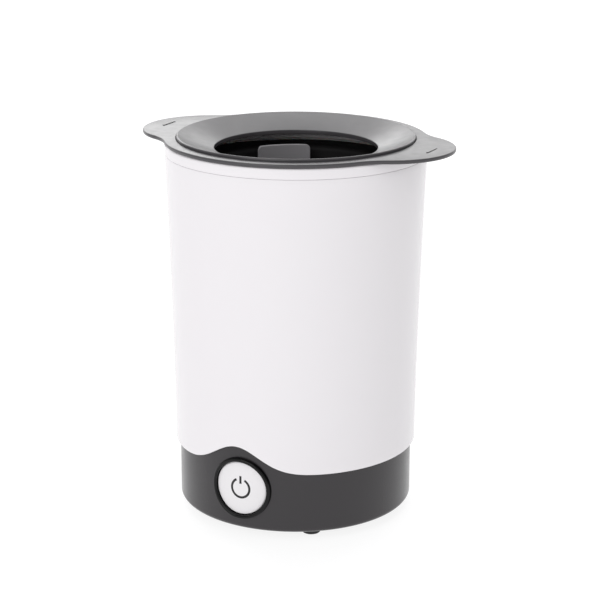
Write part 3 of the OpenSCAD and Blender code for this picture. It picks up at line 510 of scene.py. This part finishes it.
def shell_tree():
    """The housing: a profile turned about the axis, whose lower edge rises in one wave."""
    tree, given = start_tree("Waved_shell", {
        "Rows": "NodeSocketInt", "Sides": "NodeSocketInt", "Low Edge": "NodeSocketFloat",
        "Rise": "NodeSocketFloat", "Spread": "NodeSocketFloat", "Turn": "NodeSocketFloat",
        "Held": "NodeSocketFloat",
        "Still Height": "NodeSocketFloat", "Material": "NodeSocketMaterial"})

    math_kind = "ShaderNodeMath"
    grid = add(tree, "GeometryNodeMeshGrid", {
        "Size X": 1.0, "Size Y": 1.0, "Vertices X": given["Sides"], "Vertices Y": given["Rows"]})
    place = add(tree, "GeometryNodeInputPosition").outputs[0]
    spot = add(tree, "ShaderNodeSeparateXYZ", {"Vector": place})
    # The grid's rows run round the profile, whose last row is its first point again
    last = add(tree, math_kind, {0: given["Rows"], 1: 1.0}, operation="SUBTRACT").outputs[0]
    upward = add(tree, math_kind, {0: spot.outputs["Y"], 1: 0.5}, operation="ADD").outputs[0]
    counted = add(tree, math_kind, {0: upward, 1: last}, operation="MULTIPLY").outputs[0]
    row = add(tree, math_kind, {0: counted}, operation="ROUND").outputs[0]
    index = add(tree, math_kind, {0: row, 1: last}, operation="MODULO").outputs[0]
    point = add(tree, "GeometryNodeSampleIndex", {
        "Geometry": given["Geometry"], "Index": index, "Value": place},
        data_type="FLOAT_VECTOR", domain="POINT")
    section = add(tree, "ShaderNodeSeparateXYZ", {"Vector": point.outputs[0]})
    radius, height = section.outputs["X"], section.outputs["Z"]
    # Its columns run round the axis, from 0 at the button
    angle = add(tree, math_kind, {0: spot.outputs["X"], 1: TURN}, operation="MULTIPLY").outputs[0]
    off = add(tree, math_kind, {0: angle, 1: given["Turn"]}, operation="SUBTRACT").outputs[0]
    share = add(tree, math_kind, {0: off, 1: given["Spread"]}, operation="DIVIDE").outputs[0]
    square = add(tree, math_kind, {0: share, 1: share}, operation="MULTIPLY").outputs[0]
    power = add(tree, math_kind, {0: square, 1: -0.5}, operation="MULTIPLY").outputs[0]
    bell = add(tree, math_kind, {0: power}, operation="EXPONENT").outputs[0]
    held_to = add(tree, math_kind, {0: given["Low Edge"], 1: given["Held"]}, operation="ADD").outputs[0]
    fade = add(tree, "ShaderNodeMapRange", {"Value": height, "From Min": held_to,
                                            "From Max": given["Still Height"], "To Min": 1.0,
                                            "To Max": 0.0}).outputs["Result"]
    swell = add(tree, math_kind, {0: bell, 1: given["Rise"]}, operation="MULTIPLY").outputs[0]
    lift = add(tree, math_kind, {0: swell, 1: fade}, operation="MULTIPLY").outputs[0]
    sine = add(tree, math_kind, {0: angle}, operation="SINE").outputs[0]
    cosine = add(tree, math_kind, {0: angle}, operation="COSINE").outputs[0]
    inward = add(tree, math_kind, {0: radius, 1: -1.0}, operation="MULTIPLY").outputs[0]
    placed = add(tree, "ShaderNodeCombineXYZ", {
        "X": add(tree, math_kind, {0: radius, 1: sine}, operation="MULTIPLY").outputs[0],
        "Y": add(tree, math_kind, {0: inward, 1: cosine}, operation="MULTIPLY").outputs[0],
        "Z": add(tree, math_kind, {0: height, 1: lift}, operation="ADD").outputs[0]})
    shaped = add(tree, "GeometryNodeSetPosition", {"Geometry": grid.outputs["Mesh"],
                                                   "Position": placed.outputs[0]})
    sewn = add(tree, "GeometryNodeMergeByDistance", {"Geometry": shaped.outputs[0], "Distance": 2e-6})
    end_tree(tree, sewn.outputs[0], given["Material"])
    return tree


COPIES = copies_tree()
SHELL = shell_tree()


def copies_of(name, master, circle, angles, height, finish):
    """One mesh of the master's copies at those angles on a circle."""
    points = [(circle * math.cos(math.radians(a)) * MM, circle * math.sin(math.radians(a)) * MM,
               height * MM) for a in angles]
    mesh = bpy.data.meshes.new(name)
    mesh.from_pydata(points, [], [])
    made = bpy.data.objects.new(name, mesh)
    bpy.context.scene.collection.objects.link(made)
    through_tree(made, COPIES, {"Piece": master, "Material": finish})
    drop(master)
    return made


# ---- housing ----
def housing_r(z):
    return HOUSING_LOW_R + HOUSING_FLARE * (max(z - SKIRT_Z, 0) / (RIM_Z - SKIRT_Z)) ** 1.5


def outer_housing():
    def inner(z):
        return housing_r(z) - HOUSING_WALL

    sleeve_in = BASE_R - BASE_WALL
    climb = [SKIRT_Z + (SEAM_Z - SKIRT_Z) * t for t in np.linspace(0.02, 0.98, 30)]
    ring_top = SLEEVE_TOP + SLEEVE_RING_H
    down = [LEDGE_LOW_Z + (ring_top - LEDGE_LOW_Z) * t for t in np.linspace(0.02, 0.98, 16)]
    corners = ([(inner(SKIRT_Z), SKIRT_Z, 0.35), (housing_r(SKIRT_Z), SKIRT_Z, 0.5)]
               + [(housing_r(z), z, 0) for z in climb]
               + [(housing_r(SEAM_Z), SEAM_Z, 0.12), (inner(SEAM_Z), SEAM_Z, 0.2),
                  (inner(LEDGE_Z), LEDGE_Z, 0), (LEDGE_R, LEDGE_Z, 0.3),
                  (LEDGE_R, LEDGE_Z - LEDGE_H, 0.3), (inner(LEDGE_LOW_Z), LEDGE_LOW_Z, 0)]
               + [(inner(z), z, 0) for z in down]
               + [(inner(ring_top), ring_top, 0), (sleeve_in, ring_top, 0.3),
                  (sleeve_in, SLEEVE_TOP, 0.3), (inner(SLEEVE_TOP), SLEEVE_TOP, 0)])
    outline = rounded(corners)
    mesh = bpy.data.meshes.new("outer_housing_shell")
    mesh.from_pydata([(r * MM, 0, z * MM) for r, z in outline], [], [])
    shell = bpy.data.objects.new("outer_housing_shell", mesh)
    bpy.context.scene.collection.objects.link(shell)
    through_tree(shell, SHELL, {
        "Rows": len(outline) + 1, "Sides": 481, "Low Edge": SKIRT_Z * MM, "Rise": WAVE_RISE * MM,
        "Spread": math.radians(WAVE_SPREAD), "Turn": math.radians(WAVE_TURN), "Held": WAVE_HELD * MM,
        "Still Height": SLEEVE_TOP * MM, "Material": WHITE_ABS})
    lug = lathe("lug", [(1.5, 0, 0), (4, 0, 0.3), (4, 8, 0.3), (1.5, 8, 0)], 32)
    lugs = copies_of("lugs", lug, BOSS_CIRCLE, BOSS_ANGLES, SLEEVE_TOP, WHITE_ABS)
    web = loft("web", [np.array([(3.2, -3.2, z), (8.3, -3.2, z), (8.3, 3.2, z), (3.2, 3.2, z)], float)
                       for z in (0.8, 8)], loop=False, caps=True)
    webs = copies_of("webs", web, BOSS_CIRCLE, BOSS_ANGLES, SLEEVE_TOP, WHITE_ABS)
    return piece(joined("outer_housing_shell", [shell, lugs, webs]), "housing",
                 ["outer_housing"], WHITE_ABS)


def rim_ring():
    low = SEAM_Z + 0.12
    made = lathe("rim_ring_white", [
        (RIM_BORE, RIM_LOW[2], 0.3), (SPIGOT_R, RIM_LOW[2], 0.3), (SPIGOT_R, low, 0),
        (housing_r(low), low, 0.12), (housing_r(RIM_Z), RIM_Z, 0.9), (RIM_BORE, RIM_Z, 0.6)], 384, 6)
    return piece(made, "housing", ["rim_ring"], WHITE_ABS)


def racetrack(margin, y, count=24):
    """The inlet's outline at a depth, grown by a margin."""
    r = max(INLET_R + margin, 0)
    right = [(INLET_HALF + r * math.cos(a), r * math.sin(a))
             for a in np.linspace(-math.pi / 2, math.pi / 2, count)]
    left = [(-x, -z) for x, z in right]
    return np.array([(x, y, INLET_Z + z) for x, z in right + left])


def base_housing():
    edge = 2.4
    arc = [(BASE_R - edge + edge * math.cos(a), BASE_Z + edge + edge * math.sin(a), 0)
           for a in np.radians(np.linspace(-88, 0, 12))]
    shell = lathe("base_shell", arc + [
        (BASE_R, SLEEVE_TOP, 0.3), (BASE_R - BASE_WALL, SLEEVE_TOP, 0.3),
        (BASE_R - BASE_WALL, COVER_TOP + 1.7, 0.3), (COVER_STOP_R, COVER_TOP + 1.7, 0.3),
        (COVER_STOP_R, COVER_TOP, 0.2), (COVER_R + 0.2, COVER_TOP, 0), (COVER_R + 0.2, BASE_Z, 0.2)], 384)
    hole = moved(rod("hole", BEZEL_OUT + 0.05, -12, 12, 128), y=-BASE_R, z=BUTTON_Z, tip=90)
    slot = loft("slot", [racetrack(INLET_WALL + 0.1, y) for y in (44, 62)], loop=False, caps=True)
    cut(shell, [hole, slot])
    boss_h = SLEEVE_TOP - BOSS_LOW_Z
    boss = lathe("boss", [(1.7, 0, 0), (4.7, 0, 0.2), (4.7, boss_h, 0.2), (1.7, boss_h, 0)], 32)
    bosses = copies_of("bosses", boss, BOSS_CIRCLE, BOSS_ANGLES, BOSS_LOW_Z, DARK_ABS)
    small = lathe("small", [(1.5, 0, 0), (3.4, 0, 0.2), (3.4, 16, 0.2), (1.5, 16, 0)], 32)
    smalls = copies_of("smalls", small, COVER_SCREW_CIRCLE, COVER_SCREW_ANGLES, BOSS_LOW_Z, DARK_ABS)
    posts = [moved(lathe("post", [(1.1, 0, 0), (2.5, 0, 0.2), (2.5, 10.5, 0), (1.1, 10.5, 0)], 24),
                   x=x * 17.5, y=-38, z=BUTTON_Z + z * 12, tip=90) for x in (-1, 1) for z in (-1, 1)]
    posts += [moved(lathe("post", [(1.1, 0, 0), (3, 0, 0.2), (3, 3.2, 0), (1.1, 3.2, 0)], 24),
                    x=x * 15.5, y=51.8, z=INLET_Z, tip=90) for x in (-1, 1)]
    return piece(joined("base_shell", [shell, bosses, smalls] + posts), "housing",
                 ["base_housing"], DARK_ABS)


def base_cover():
    low, top = COVER_Z, COVER_TOP
    disc = lathe("bottom_cover", [(0, low, 0), (COVER_R, low, 0.4), (COVER_R, top, 0.3), (0, top, 0)])
    slots = []
    for i in range(-4, 5):
        end = np.linspace(-math.pi / 2, math.pi / 2, 9)
        ring = [(1.1 * math.sin(a), 11.9 + 1.1 * math.cos(a)) for a in end]
        ring += [(-x, -y) for x, y in ring]
        slots.append(loft("slot", [np.array([(i * 4.6 + x, y, z) for x, y in ring])
                                   for z in (0, top + 2)], loop=False, caps=True))
    for a in COVER_SCREW_ANGLES:
        x, y = (COVER_SCREW_CIRCLE * f(math.radians(a)) for f in (math.cos, math.sin))
        slots.append(moved(rod("hole", 1.7, 0, top + 2, 32), x=x, y=y))
        slots.append(moved(rod("hole", 3.3, 0, low + 0.8, 48), x=x, y=y))
    for a in FOOT_ANGLES:
        x, y = (FOOT_CIRCLE * f(math.radians(a)) for f in (math.cos, math.sin))
        slots.append(moved(rod("hole", 1.8, 0, top + 2, 32), x=x, y=y))
    cut(disc, slots)
    posts = [moved(lathe("post", [(1.1, low + 0.5, 0), (3, low + 0.5, 0), (3, 14, 0.2), (1.1, 14, 0)], 24),
                   x=x * 26, y=1 + y * 21) for x in (-1, 1) for y in (-1, 1)]
    return piece(joined("bottom_cover", [disc] + posts), "housing", ["base_cover"], DARK_ABS)


def feet():
    low, top = COVER_Z, COVER_TOP
    foot = lathe("foot", [(0, 0, 0), (4.4, 0, 0.9), (4.4, low, 0.2), (1.8, low, 0), (1.8, top, 0),
                          (2.5, top, 0.2), (1.2, top + 2.2, 0.3), (0, top + 2.2, 0)], 64)
    made = copies_of("rubber_feet", foot, FOOT_CIRCLE, FOOT_ANGLES, 0, RUBBER)
    return piece(made, "housing", ["foot_1", "foot_2", "foot_3", "foot_4"], RUBBER)


def cover_screws():
    screw = lathe("screw", [(0, 0, 0), (2.8, 0, 0.3), (2.8, 0.7, 0), (1.45, 0.7, 0), (1.45, 11.2, 0.4),
                            (0, 11.7, 0)], 48)
    arms = [loft("arm", [np.array([(-a, -b, z), (a, -b, z), (a, b, z), (-a, b, z)], float)
                         for z in (-1, 0.42)], loop=False, caps=True) for a, b in ((1.6, 0.35), (0.35, 1.6))]
    cut(screw, arms)
    made = copies_of("cover_screws_set", screw, COVER_SCREW_CIRCLE, COVER_SCREW_ANGLES,
                     COVER_Z + 0.1, SCREW_STEEL)
    return piece(made, "housing", ["cover_screws"], SCREW_STEEL)


# ---- chamber ----
def chamber():
    floor, top = CHAMBER_FLOOR_Z, CHAMBER_HIGH[2]
    low = floor - 2
    body = lathe("water_chamber", [
        (30, low, 0.4), (CHAMBER_OUT, low, 1.2), (CHAMBER_OUT, top - 2, 0.4), (CHAMBER_HIGH[0], top - 2, 0.2),
        (CHAMBER_HIGH[0], top, 0.3), (CHAMBER_R, top, 2.0), (CHAMBER_R, floor, 2.5),
        (STOP_RING_OUT, floor, 0.3), (STOP_RING_OUT, STOP_RING_TOP, 0.4),
        (STOP_RING_IN, STOP_RING_TOP, 0.4), (STOP_RING_IN, floor, 0.3), (30, floor, 0.6)], steps=6)
    boss = lathe("boss", [(1.35, 0, 0), (3, 0, 0.2), (3, low + 0.5 - PLATE_LOW[2], 0),
                          (1.35, low + 0.5 - PLATE_LOW[2], 0)], 32)
    bosses = copies_of("bosses", boss, CHAMBER_OUT - 3.6, [45, 135, 225, 315], PLATE_LOW[2], BLACK_PP)
    return piece(joined("water_chamber", [body, bosses]), "housing", ["heating_chamber"],
                 BLACK_PP)


def plate():
    made = lathe("heating_plate_disc", [(0, PLATE_LOW[2], 0), (PLATE_HIGH[0], PLATE_LOW[2], 0.2),
                                        (PLATE_HIGH[0], PLATE_HIGH[2], 0.3), (0, PLATE_HIGH[2], 0)])
    return piece(made, "housing", ["heating_plate"], PLATE_STEEL)


def gasket():
    made = lathe("flange_gasket", [(56.0, GASKET_LOW[2], 0.3), (GASKET_HIGH[0], GASKET_LOW[2], 0.3),
                                   (GASKET_HIGH[0], GASKET_HIGH[2], 0.3), (56.0, GASKET_HIGH[2], 0.3)])
    return piece(made, "housing", ["chamber_gasket"], SILICONE)


# ---- button ----
def face_row(rho, face, count=160):
    """A circle about the button's axis, laid on a cylinder about the object's axis."""
    a = np.arange(count) * TURN / count
    x = rho * np.cos(a)
    return np.stack([x, -np.sqrt(face * face - x * x), BUTTON_Z + rho * np.sin(a)], 1)


def flat_row(rho, y, count=160):
    a = np.arange(count) * TURN / count
    return np.stack([rho * np.cos(a), np.full(count, y), BUTTON_Z + rho * np.sin(a)], 1)


def bezel():
    back, bend = BEZEL_HIGH[1], 0.6
    turn = np.radians(np.linspace(0, 90, 7))
    rows = [flat_row(BEZEL_IN, back)]
    rows += [face_row(BEZEL_IN + bend - bend * math.cos(a), BEZEL_FACE - bend + bend * math.sin(a))
             for a in turn]
    rows += [face_row(BEZEL_OUT - bend + bend * math.cos(a), BEZEL_FACE - bend + bend * math.sin(a))
             for a in turn[::-1]]
    rows += [flat_row(BEZEL_OUT, back - 1.5), flat_row(BEZEL_OUT + 1.8, back - 1.5),
             flat_row(BEZEL_OUT + 1.8, back)]
    return piece(loft("button_ring", rows), "housing", ["button_bezel"], GLOSS_BLACK)


def button():
    bend, back = 0.7, -46.9
    rows = [face_row(r, BUTTON_FACE) for r in np.linspace(0, BUTTON_R - bend, 9)]
    rows += [face_row(BUTTON_R - bend + bend * math.sin(a), BUTTON_FACE - bend + bend * math.cos(a))
             for a in np.radians(np.linspace(15, 90, 6))]
    rows += [flat_row(BUTTON_R, back - 1.4), flat_row(BUTTON_R + 1.4, back - 1.4),
             flat_row(BUTTON_R + 1.4, back), flat_row(BUTTON_R - 1.8, back)]
    rows += [face_row(r, BUTTON_FACE - 2) for r in (BUTTON_R - 1.8, 7, 3)]
    rows += [flat_row(3, BUTTON_HIGH[1]), flat_row(0, BUTTON_HIGH[1])]
    return piece(loft("push_button", rows, loop=False), "button", ["power_button"], BUTTON_ABS)


def symbol():
    """The power sign: an open ring and a bar, a thin film on the button's face."""
    proud, sunk, half = 0.03, 0.25, SYMBOL_LINE / 2

    def strip(name, spine, ways):
        rows = []
        for (x, z), (u, w) in zip(spine, ways):
            rows.append(np.array([
                (px, -math.sqrt((BUTTON_FACE + out) ** 2 - px * px), BUTTON_Z + pz)
                for px, pz, out in (
                    (x - u * half, z - w * half, proud), (x + u * half, z + w * half, proud),
                    (x + u * half, z + w * half, -sunk), (x - u * half, z - w * half, -sunk))]))
        return loft(name, rows, loop=False, caps=True)

    middle = SYMBOL_R - half
    angles = np.radians(np.linspace(90 + SYMBOL_OPEN, 450 - SYMBOL_OPEN, 65))
    ring = strip("ring", [(middle * math.cos(a), middle * math.sin(a)) for a in angles],
                 [(math.cos(a), math.sin(a)) for a in angles])
    heights = np.linspace(SYMBOL_R * 0.42, SYMBOL_R * 1.17, 5)
    bar = strip("bar", [(0, z) for z in heights], [(1, 0)] * 5)
    return piece(joined("power_mark", [ring, bar]), "button", ["power_symbol"], INK)


# ---- inlet ----
def inlet():
    back, front, floor = INLET_LOW[1], INLET_HIGH[1], INLET_HIGH[1] - 13
    lip = 0.5
    turn = np.radians(np.linspace(0, 90, 5))
    rows = [racetrack(-INLET_R, back), racetrack(INLET_WALL - 0.3, back), racetrack(INLET_WALL, back + 0.3)]
    rows += [racetrack(INLET_WALL - lip + lip * math.cos(a), front - lip + lip * math.sin(a)) for a in turn]
    rows += [racetrack(lip - lip * math.cos(a), front - lip + lip * math.sin(a)) for a in turn[::-1]]
    rows += [racetrack(0, floor + 0.4), racetrack(-0.4, floor), racetrack(-INLET_R, floor)]
    socket = loft("socket", rows, loop=False)
    flange = []
    for y, inset in ((46.6, 0.3), (46.9, 0), (48.3, 0), (48.6, 0.3)):
        ring = rounded([(19 - inset, -8.5 + inset, 2), (19 - inset, 8.5 - inset, 2),
                        (inset - 19, 8.5 - inset, 2), (inset - 19, -8.5 + inset, 2)])
        flange.append(np.array([(x, y, INLET_Z + z) for x, z in ring]))
    return piece(joined("power_socket", [socket, loft("flange", flange, loop=False, caps=True)]),
                 "housing", ["power_inlet"], BLACK_PA)


def pins():
    made = []
    root, tip = 41.0, 51.0
    for x in (-PIN_X, PIN_X):
        outline = [(0, 36.5, 0), (1.6, 36.5, 0.2), (1.6, root, 0.2), (PIN_R, root, 0), (PIN_R, tip, 0)]
        outline += [(PIN_R * math.cos(a), tip + PIN_R * math.sin(a), 0)
                    for a in np.radians([15, 30, 45, 60, 75, 90])]
        pin = lathe("pin", outline, 48)
        pin.data.transform(Matrix.Rotation(math.radians(-90), 4, "X"))
        made.append(moved(pin, x=x, z=INLET_Z))
    return piece(joined("contact_pins", made), "housing", ["inlet_pins"], BRASS)


# ---- collar, funnel and basket ----
def collar_edge(angle, inset):
    """Distance from the axis to the collar's outline, moved inwards by the inset."""
    r0, r1, f = FLANGE_R - inset, EAR_R - inset, EAR_BLEND + inset
    d0, d1 = r0 + f, r1 + f
    fx = (d0 * d0 - d1 * d1 + EAR_X * EAR_X) / (2 * EAR_X)
    fy = math.sqrt(d0 * d0 - fx * fx)
    a = abs((angle + math.pi / 2) % math.pi - math.pi / 2)
    flange_from = math.atan2(fy, fx)
    ear_to = math.atan2(r1 * fy / d1, EAR_X + r1 * (fx - EAR_X) / d1)
    if a <= ear_to:
        return EAR_X * math.cos(a) + math.sqrt(r1 * r1 - (EAR_X * math.sin(a)) ** 2)
    if a <= flange_from:
        off = a - flange_from
        return d0 * math.cos(off) - math.sqrt(f * f - (d0 * math.sin(off)) ** 2)
    return r0


def funnel_z(r):
    return FUNNEL_HIGH[2] - (FUNNEL_R - r) * FUNNEL_TAN


def collar():
    count, bend = 720, 0.6
    low, top = RIM_Z + 0.1, RIM_Z + 1.9
    angles = np.arange(count) * TURN / count

    def edge_row(inset, z):
        r = np.array([collar_edge(a, inset) for a in angles])
        return np.stack([r * np.cos(angles), r * np.sin(angles), np.full(count, z)], 1)

    def round_row(r, z):
        return circle_row(r, z, count)

    seat = FUNNEL_R + 0.3
    rows = [round_row(SKIRT_IN + 0.3, COLLAR_LOW[2]), round_row(SKIRT_R - 0.3, COLLAR_LOW[2]),
            round_row(SKIRT_R, COLLAR_LOW[2] + 0.3), round_row(SKIRT_R, low - 0.3),
            round_row(SKIRT_R + 0.1, low - 0.1), round_row(SKIRT_R + 0.3, low)]
    turn = np.radians(np.linspace(0, 90, 6))
    rows += [edge_row(bend - bend * math.sin(a), low + bend - bend * math.cos(a)) for a in turn]
    rows += [edge_row(bend - bend * math.cos(a), top - bend + bend * math.sin(a)) for a in turn]
    rows += [round_row(seat + 0.15, top), round_row(seat, top - 0.15),
             round_row(seat, funnel_z(seat) - 1.95), round_row(46, funnel_z(46) - 1.95),
             round_row(46, funnel_z(46) - 3.5), round_row(SKIRT_IN, funnel_z(SKIRT_IN) - 3.5),
             round_row(SKIRT_IN, COLLAR_LOW[2] + 0.3)]
    parts = [loft("collar_with_ears", rows)]
    for side in (-1, 1):
        ribs = []
        for r, z in ((RIB_R, top - 0.1), (RIB_R, top + RIB_H - 0.12), (RIB_R - 0.15, top + RIB_H)):
            half = [(side * RIB_X + r * math.cos(a), RIB_HALF + r * math.sin(a), z)
                    for a in np.linspace(0, math.pi, 13)]
            ribs.append(np.array(half + [(2 * side * RIB_X - x, -y, z) for x, y, z in half]))
        parts.append(loft("rib", ribs, loop=False, caps=True))
    return piece(joined("collar_with_ears", parts), "collar", ["lift_collar"], GREY_PP)


def funnel():
    low, under = funnel_z(THROAT_R) - 2.0, 1.9
    made = lathe("funnel_ring", [
        (THROAT_R, low, 0.4), (THROAT_R + 1.6, low, 0.4),
        (THROAT_R + 1.6, funnel_z(THROAT_R + 1.6) - under, 0.6),
        (FUNNEL_R, funnel_z(FUNNEL_R) - under, 0.3), (FUNNEL_R, FUNNEL_HIGH[2], 1.1),
        (THROAT_R, funnel_z(THROAT_R), 0.5)], 384, 6)
    return piece(made, "collar", ["funnel_insert"], GREY_PP)


def basket():
    low, top = BASKET_LOW[2], BASKET_HIGH[2]
    floor = low + 2
    cup = lathe("cup", [(0, low, 0), (BASKET_OUT, low, 0.8), (BASKET_OUT, CUP_TOP, 0.4),
                        (CUP_IN, CUP_TOP, 0.6), (CUP_IN, floor, 1.2), (0, floor, 0)])
    holes = [rod("vent", 6, low - 1, floor + 1, 64)]
    for a in np.radians(np.arange(0, 360, 45)):
        holes.append(moved(rod("vent", 3, low - 1, floor + 1, 40),
                           x=VENT_CIRCLE * math.cos(a), y=VENT_CIRCLE * math.sin(a)))
    cut(cup, holes)

    def arm_row(z, half, inset):
        """The arm's cross-section: two arcs joined by rounded sides."""
        lines = []
        mid, reach = (BASKET_OUT + BASKET_IN) / 2, (BASKET_OUT - BASKET_IN) / 2 - inset
        straight = half - inset - SIDE_ROUND
        for side, r in ((1, BASKET_OUT - inset), (-1, BASKET_IN + inset)):
            lines += [(t * straight, r) for t in np.linspace(-side, side, 17)]
            lines += [(side * (straight + SIDE_ROUND * math.sin(a)), mid + side * reach * math.cos(a))
                      for a in np.radians([30, 60, 90, 120, 150])]
        return np.array([(math.sqrt(r * r - s * s), s, z) for s, r in lines])

    levels = [(CUP_TOP - 0.6, ARM_HALF, 0.45), (CUP_TOP - 0.2, ARM_HALF, 0.45), (CUP_TOP, ARM_HALF, 0.0)]
    levels += [(z, ARM_HALF, 0) for z in np.linspace(CUP_TOP + 8, top - ARM_CORNER, 10)]
    for a in np.radians([15, 30, 45, 58, 68]):
        levels.append((top - ARM_CORNER + ARM_CORNER * math.sin(a),
                       ARM_HALF - ARM_CORNER + ARM_CORNER * math.cos(a), 0))
    tip = levels[-1]
    levels += [(top - 0.04, tip[1] - 0.3, 0.2), (top, tip[1] - 0.5, 0.4)]
    arm = loft("arm", [arm_row(*level) for level in levels], loop=False, caps=True)
    arm.data.transform(Matrix.Translation((-MM, 0, 0)))
    arms = copies_of("arms", arm, 1.0, ARM_ANGLES, 0, BASKET_PP)
    return piece(joined("bottle_basket_cup", [cup, arms]), "basket", ["bottle_basket"],
                 BASKET_PP)


for make in (outer_housing, rim_ring, base_housing, base_cover, feet, cover_screws, chamber, plate,
             gasket, bezel, button, symbol, inlet, pins, collar, funnel, basket):
    make()


# ---- studio ----
def studio():
    scene = bpy.context.scene
    scene.view_settings.view_transform = "Standard"

    def panel(name, size_x, size_y, power, place, aim, colour=(1, 1, 1)):
        data = bpy.data.lights.new(name, "AREA")
        data.shape, data.size, data.size_y = "RECTANGLE", size_x, size_y
        data.energy, data.color = power, colour
        lamp = bpy.data.objects.new(name, data)
        scene.collection.objects.link(lamp)
        lamp.location = place
        lamp.rotation_euler = (Vector(aim) - Vector(place)).to_track_quat("-Z", "Y").to_euler()
        return lamp

    mesh = bpy.data.meshes.new("floor")
    reach = 6.0
    mesh.from_pydata([(-reach, -reach, 0), (reach, -reach, 0), (reach, reach, 0), (-reach, reach, 0)], [],
                     [(0, 1, 2, 3)])
    floor = bpy.data.objects.new("floor", mesh)
    scene.collection.objects.link(floor)
    # Matt painted board: plain pale floor
    material, _, _, shader = new_material("Board_painted_matt_white")
    shader.inputs["Base Color"].default_value = linear("#7A7A7B")
    shader.inputs["Roughness"].default_value = 0.85
    shader.inputs["Emission Color"].default_value = (1, 1, 1, 1)
    shader.inputs["Emission Strength"].default_value = 0.86
    floor.data.materials.append(material)

    world = bpy.data.worlds.new("studio")
    scene.world = world
    world.use_nodes = True
    world.node_tree.nodes.clear()
    glow = add(world.node_tree, "ShaderNodeBackground", {"Color": (1, 1, 1, 1), "Strength": 0.5})
    add(world.node_tree, "ShaderNodeOutputWorld", {"Surface": glow.outputs[0]})

    azimuth = math.radians(26.8)
    across = Vector((math.cos(azimuth), math.sin(azimuth), 0))
    away = Vector((-math.sin(azimuth), math.cos(azimuth), 0))
    middle = Vector((0, 0, 0.1))
    # A long low panel behind, whose reflection brightens flat tops seen at a low angle
    panel("back_left", 2.0, 1.1, 18.0, middle + away * 2.6 - across * 1.0 + Vector((0, 0, 1.0)), middle)
    panel("back_right", 2.0, 1.1, 12.0, middle + away * 2.6 + across * 1.0 + Vector((0, 0, 1.0)), middle)
    # A high panel behind, seen in the funnel's far slope
    panel("back_top", 2.4, 1.4, 21, middle + away * 1.2 + Vector((0, 0, 1.7)), middle)
    panel("key", 1.6, 1.8, 16.5, middle - across * 0.95 - away * 1.7 + Vector((0, 0, 1.1)), middle)

    data = bpy.data.cameras.new("camera")
    data.lens, data.sensor_width = 115.0, 36.0
    data.clip_start, data.clip_end = 0.05, 30
    camera = bpy.data.objects.new("camera", data)
    scene.collection.objects.link(camera)
    distance, height, aside = 0.8684, 0.3556, 0.001986
    camera.location = -away * distance + across * aside + Vector((0, 0, height))
    pitch, roll = math.radians(16.44), math.radians(0.13)
    camera.rotation_euler = (Matrix.Rotation(azimuth, 3, "Z") @ Matrix.Rotation(math.pi / 2 - pitch, 3, "X")
                             @ Matrix.Rotation(roll, 3, "Z")).to_euler()
    scene.camera = camera


studio()
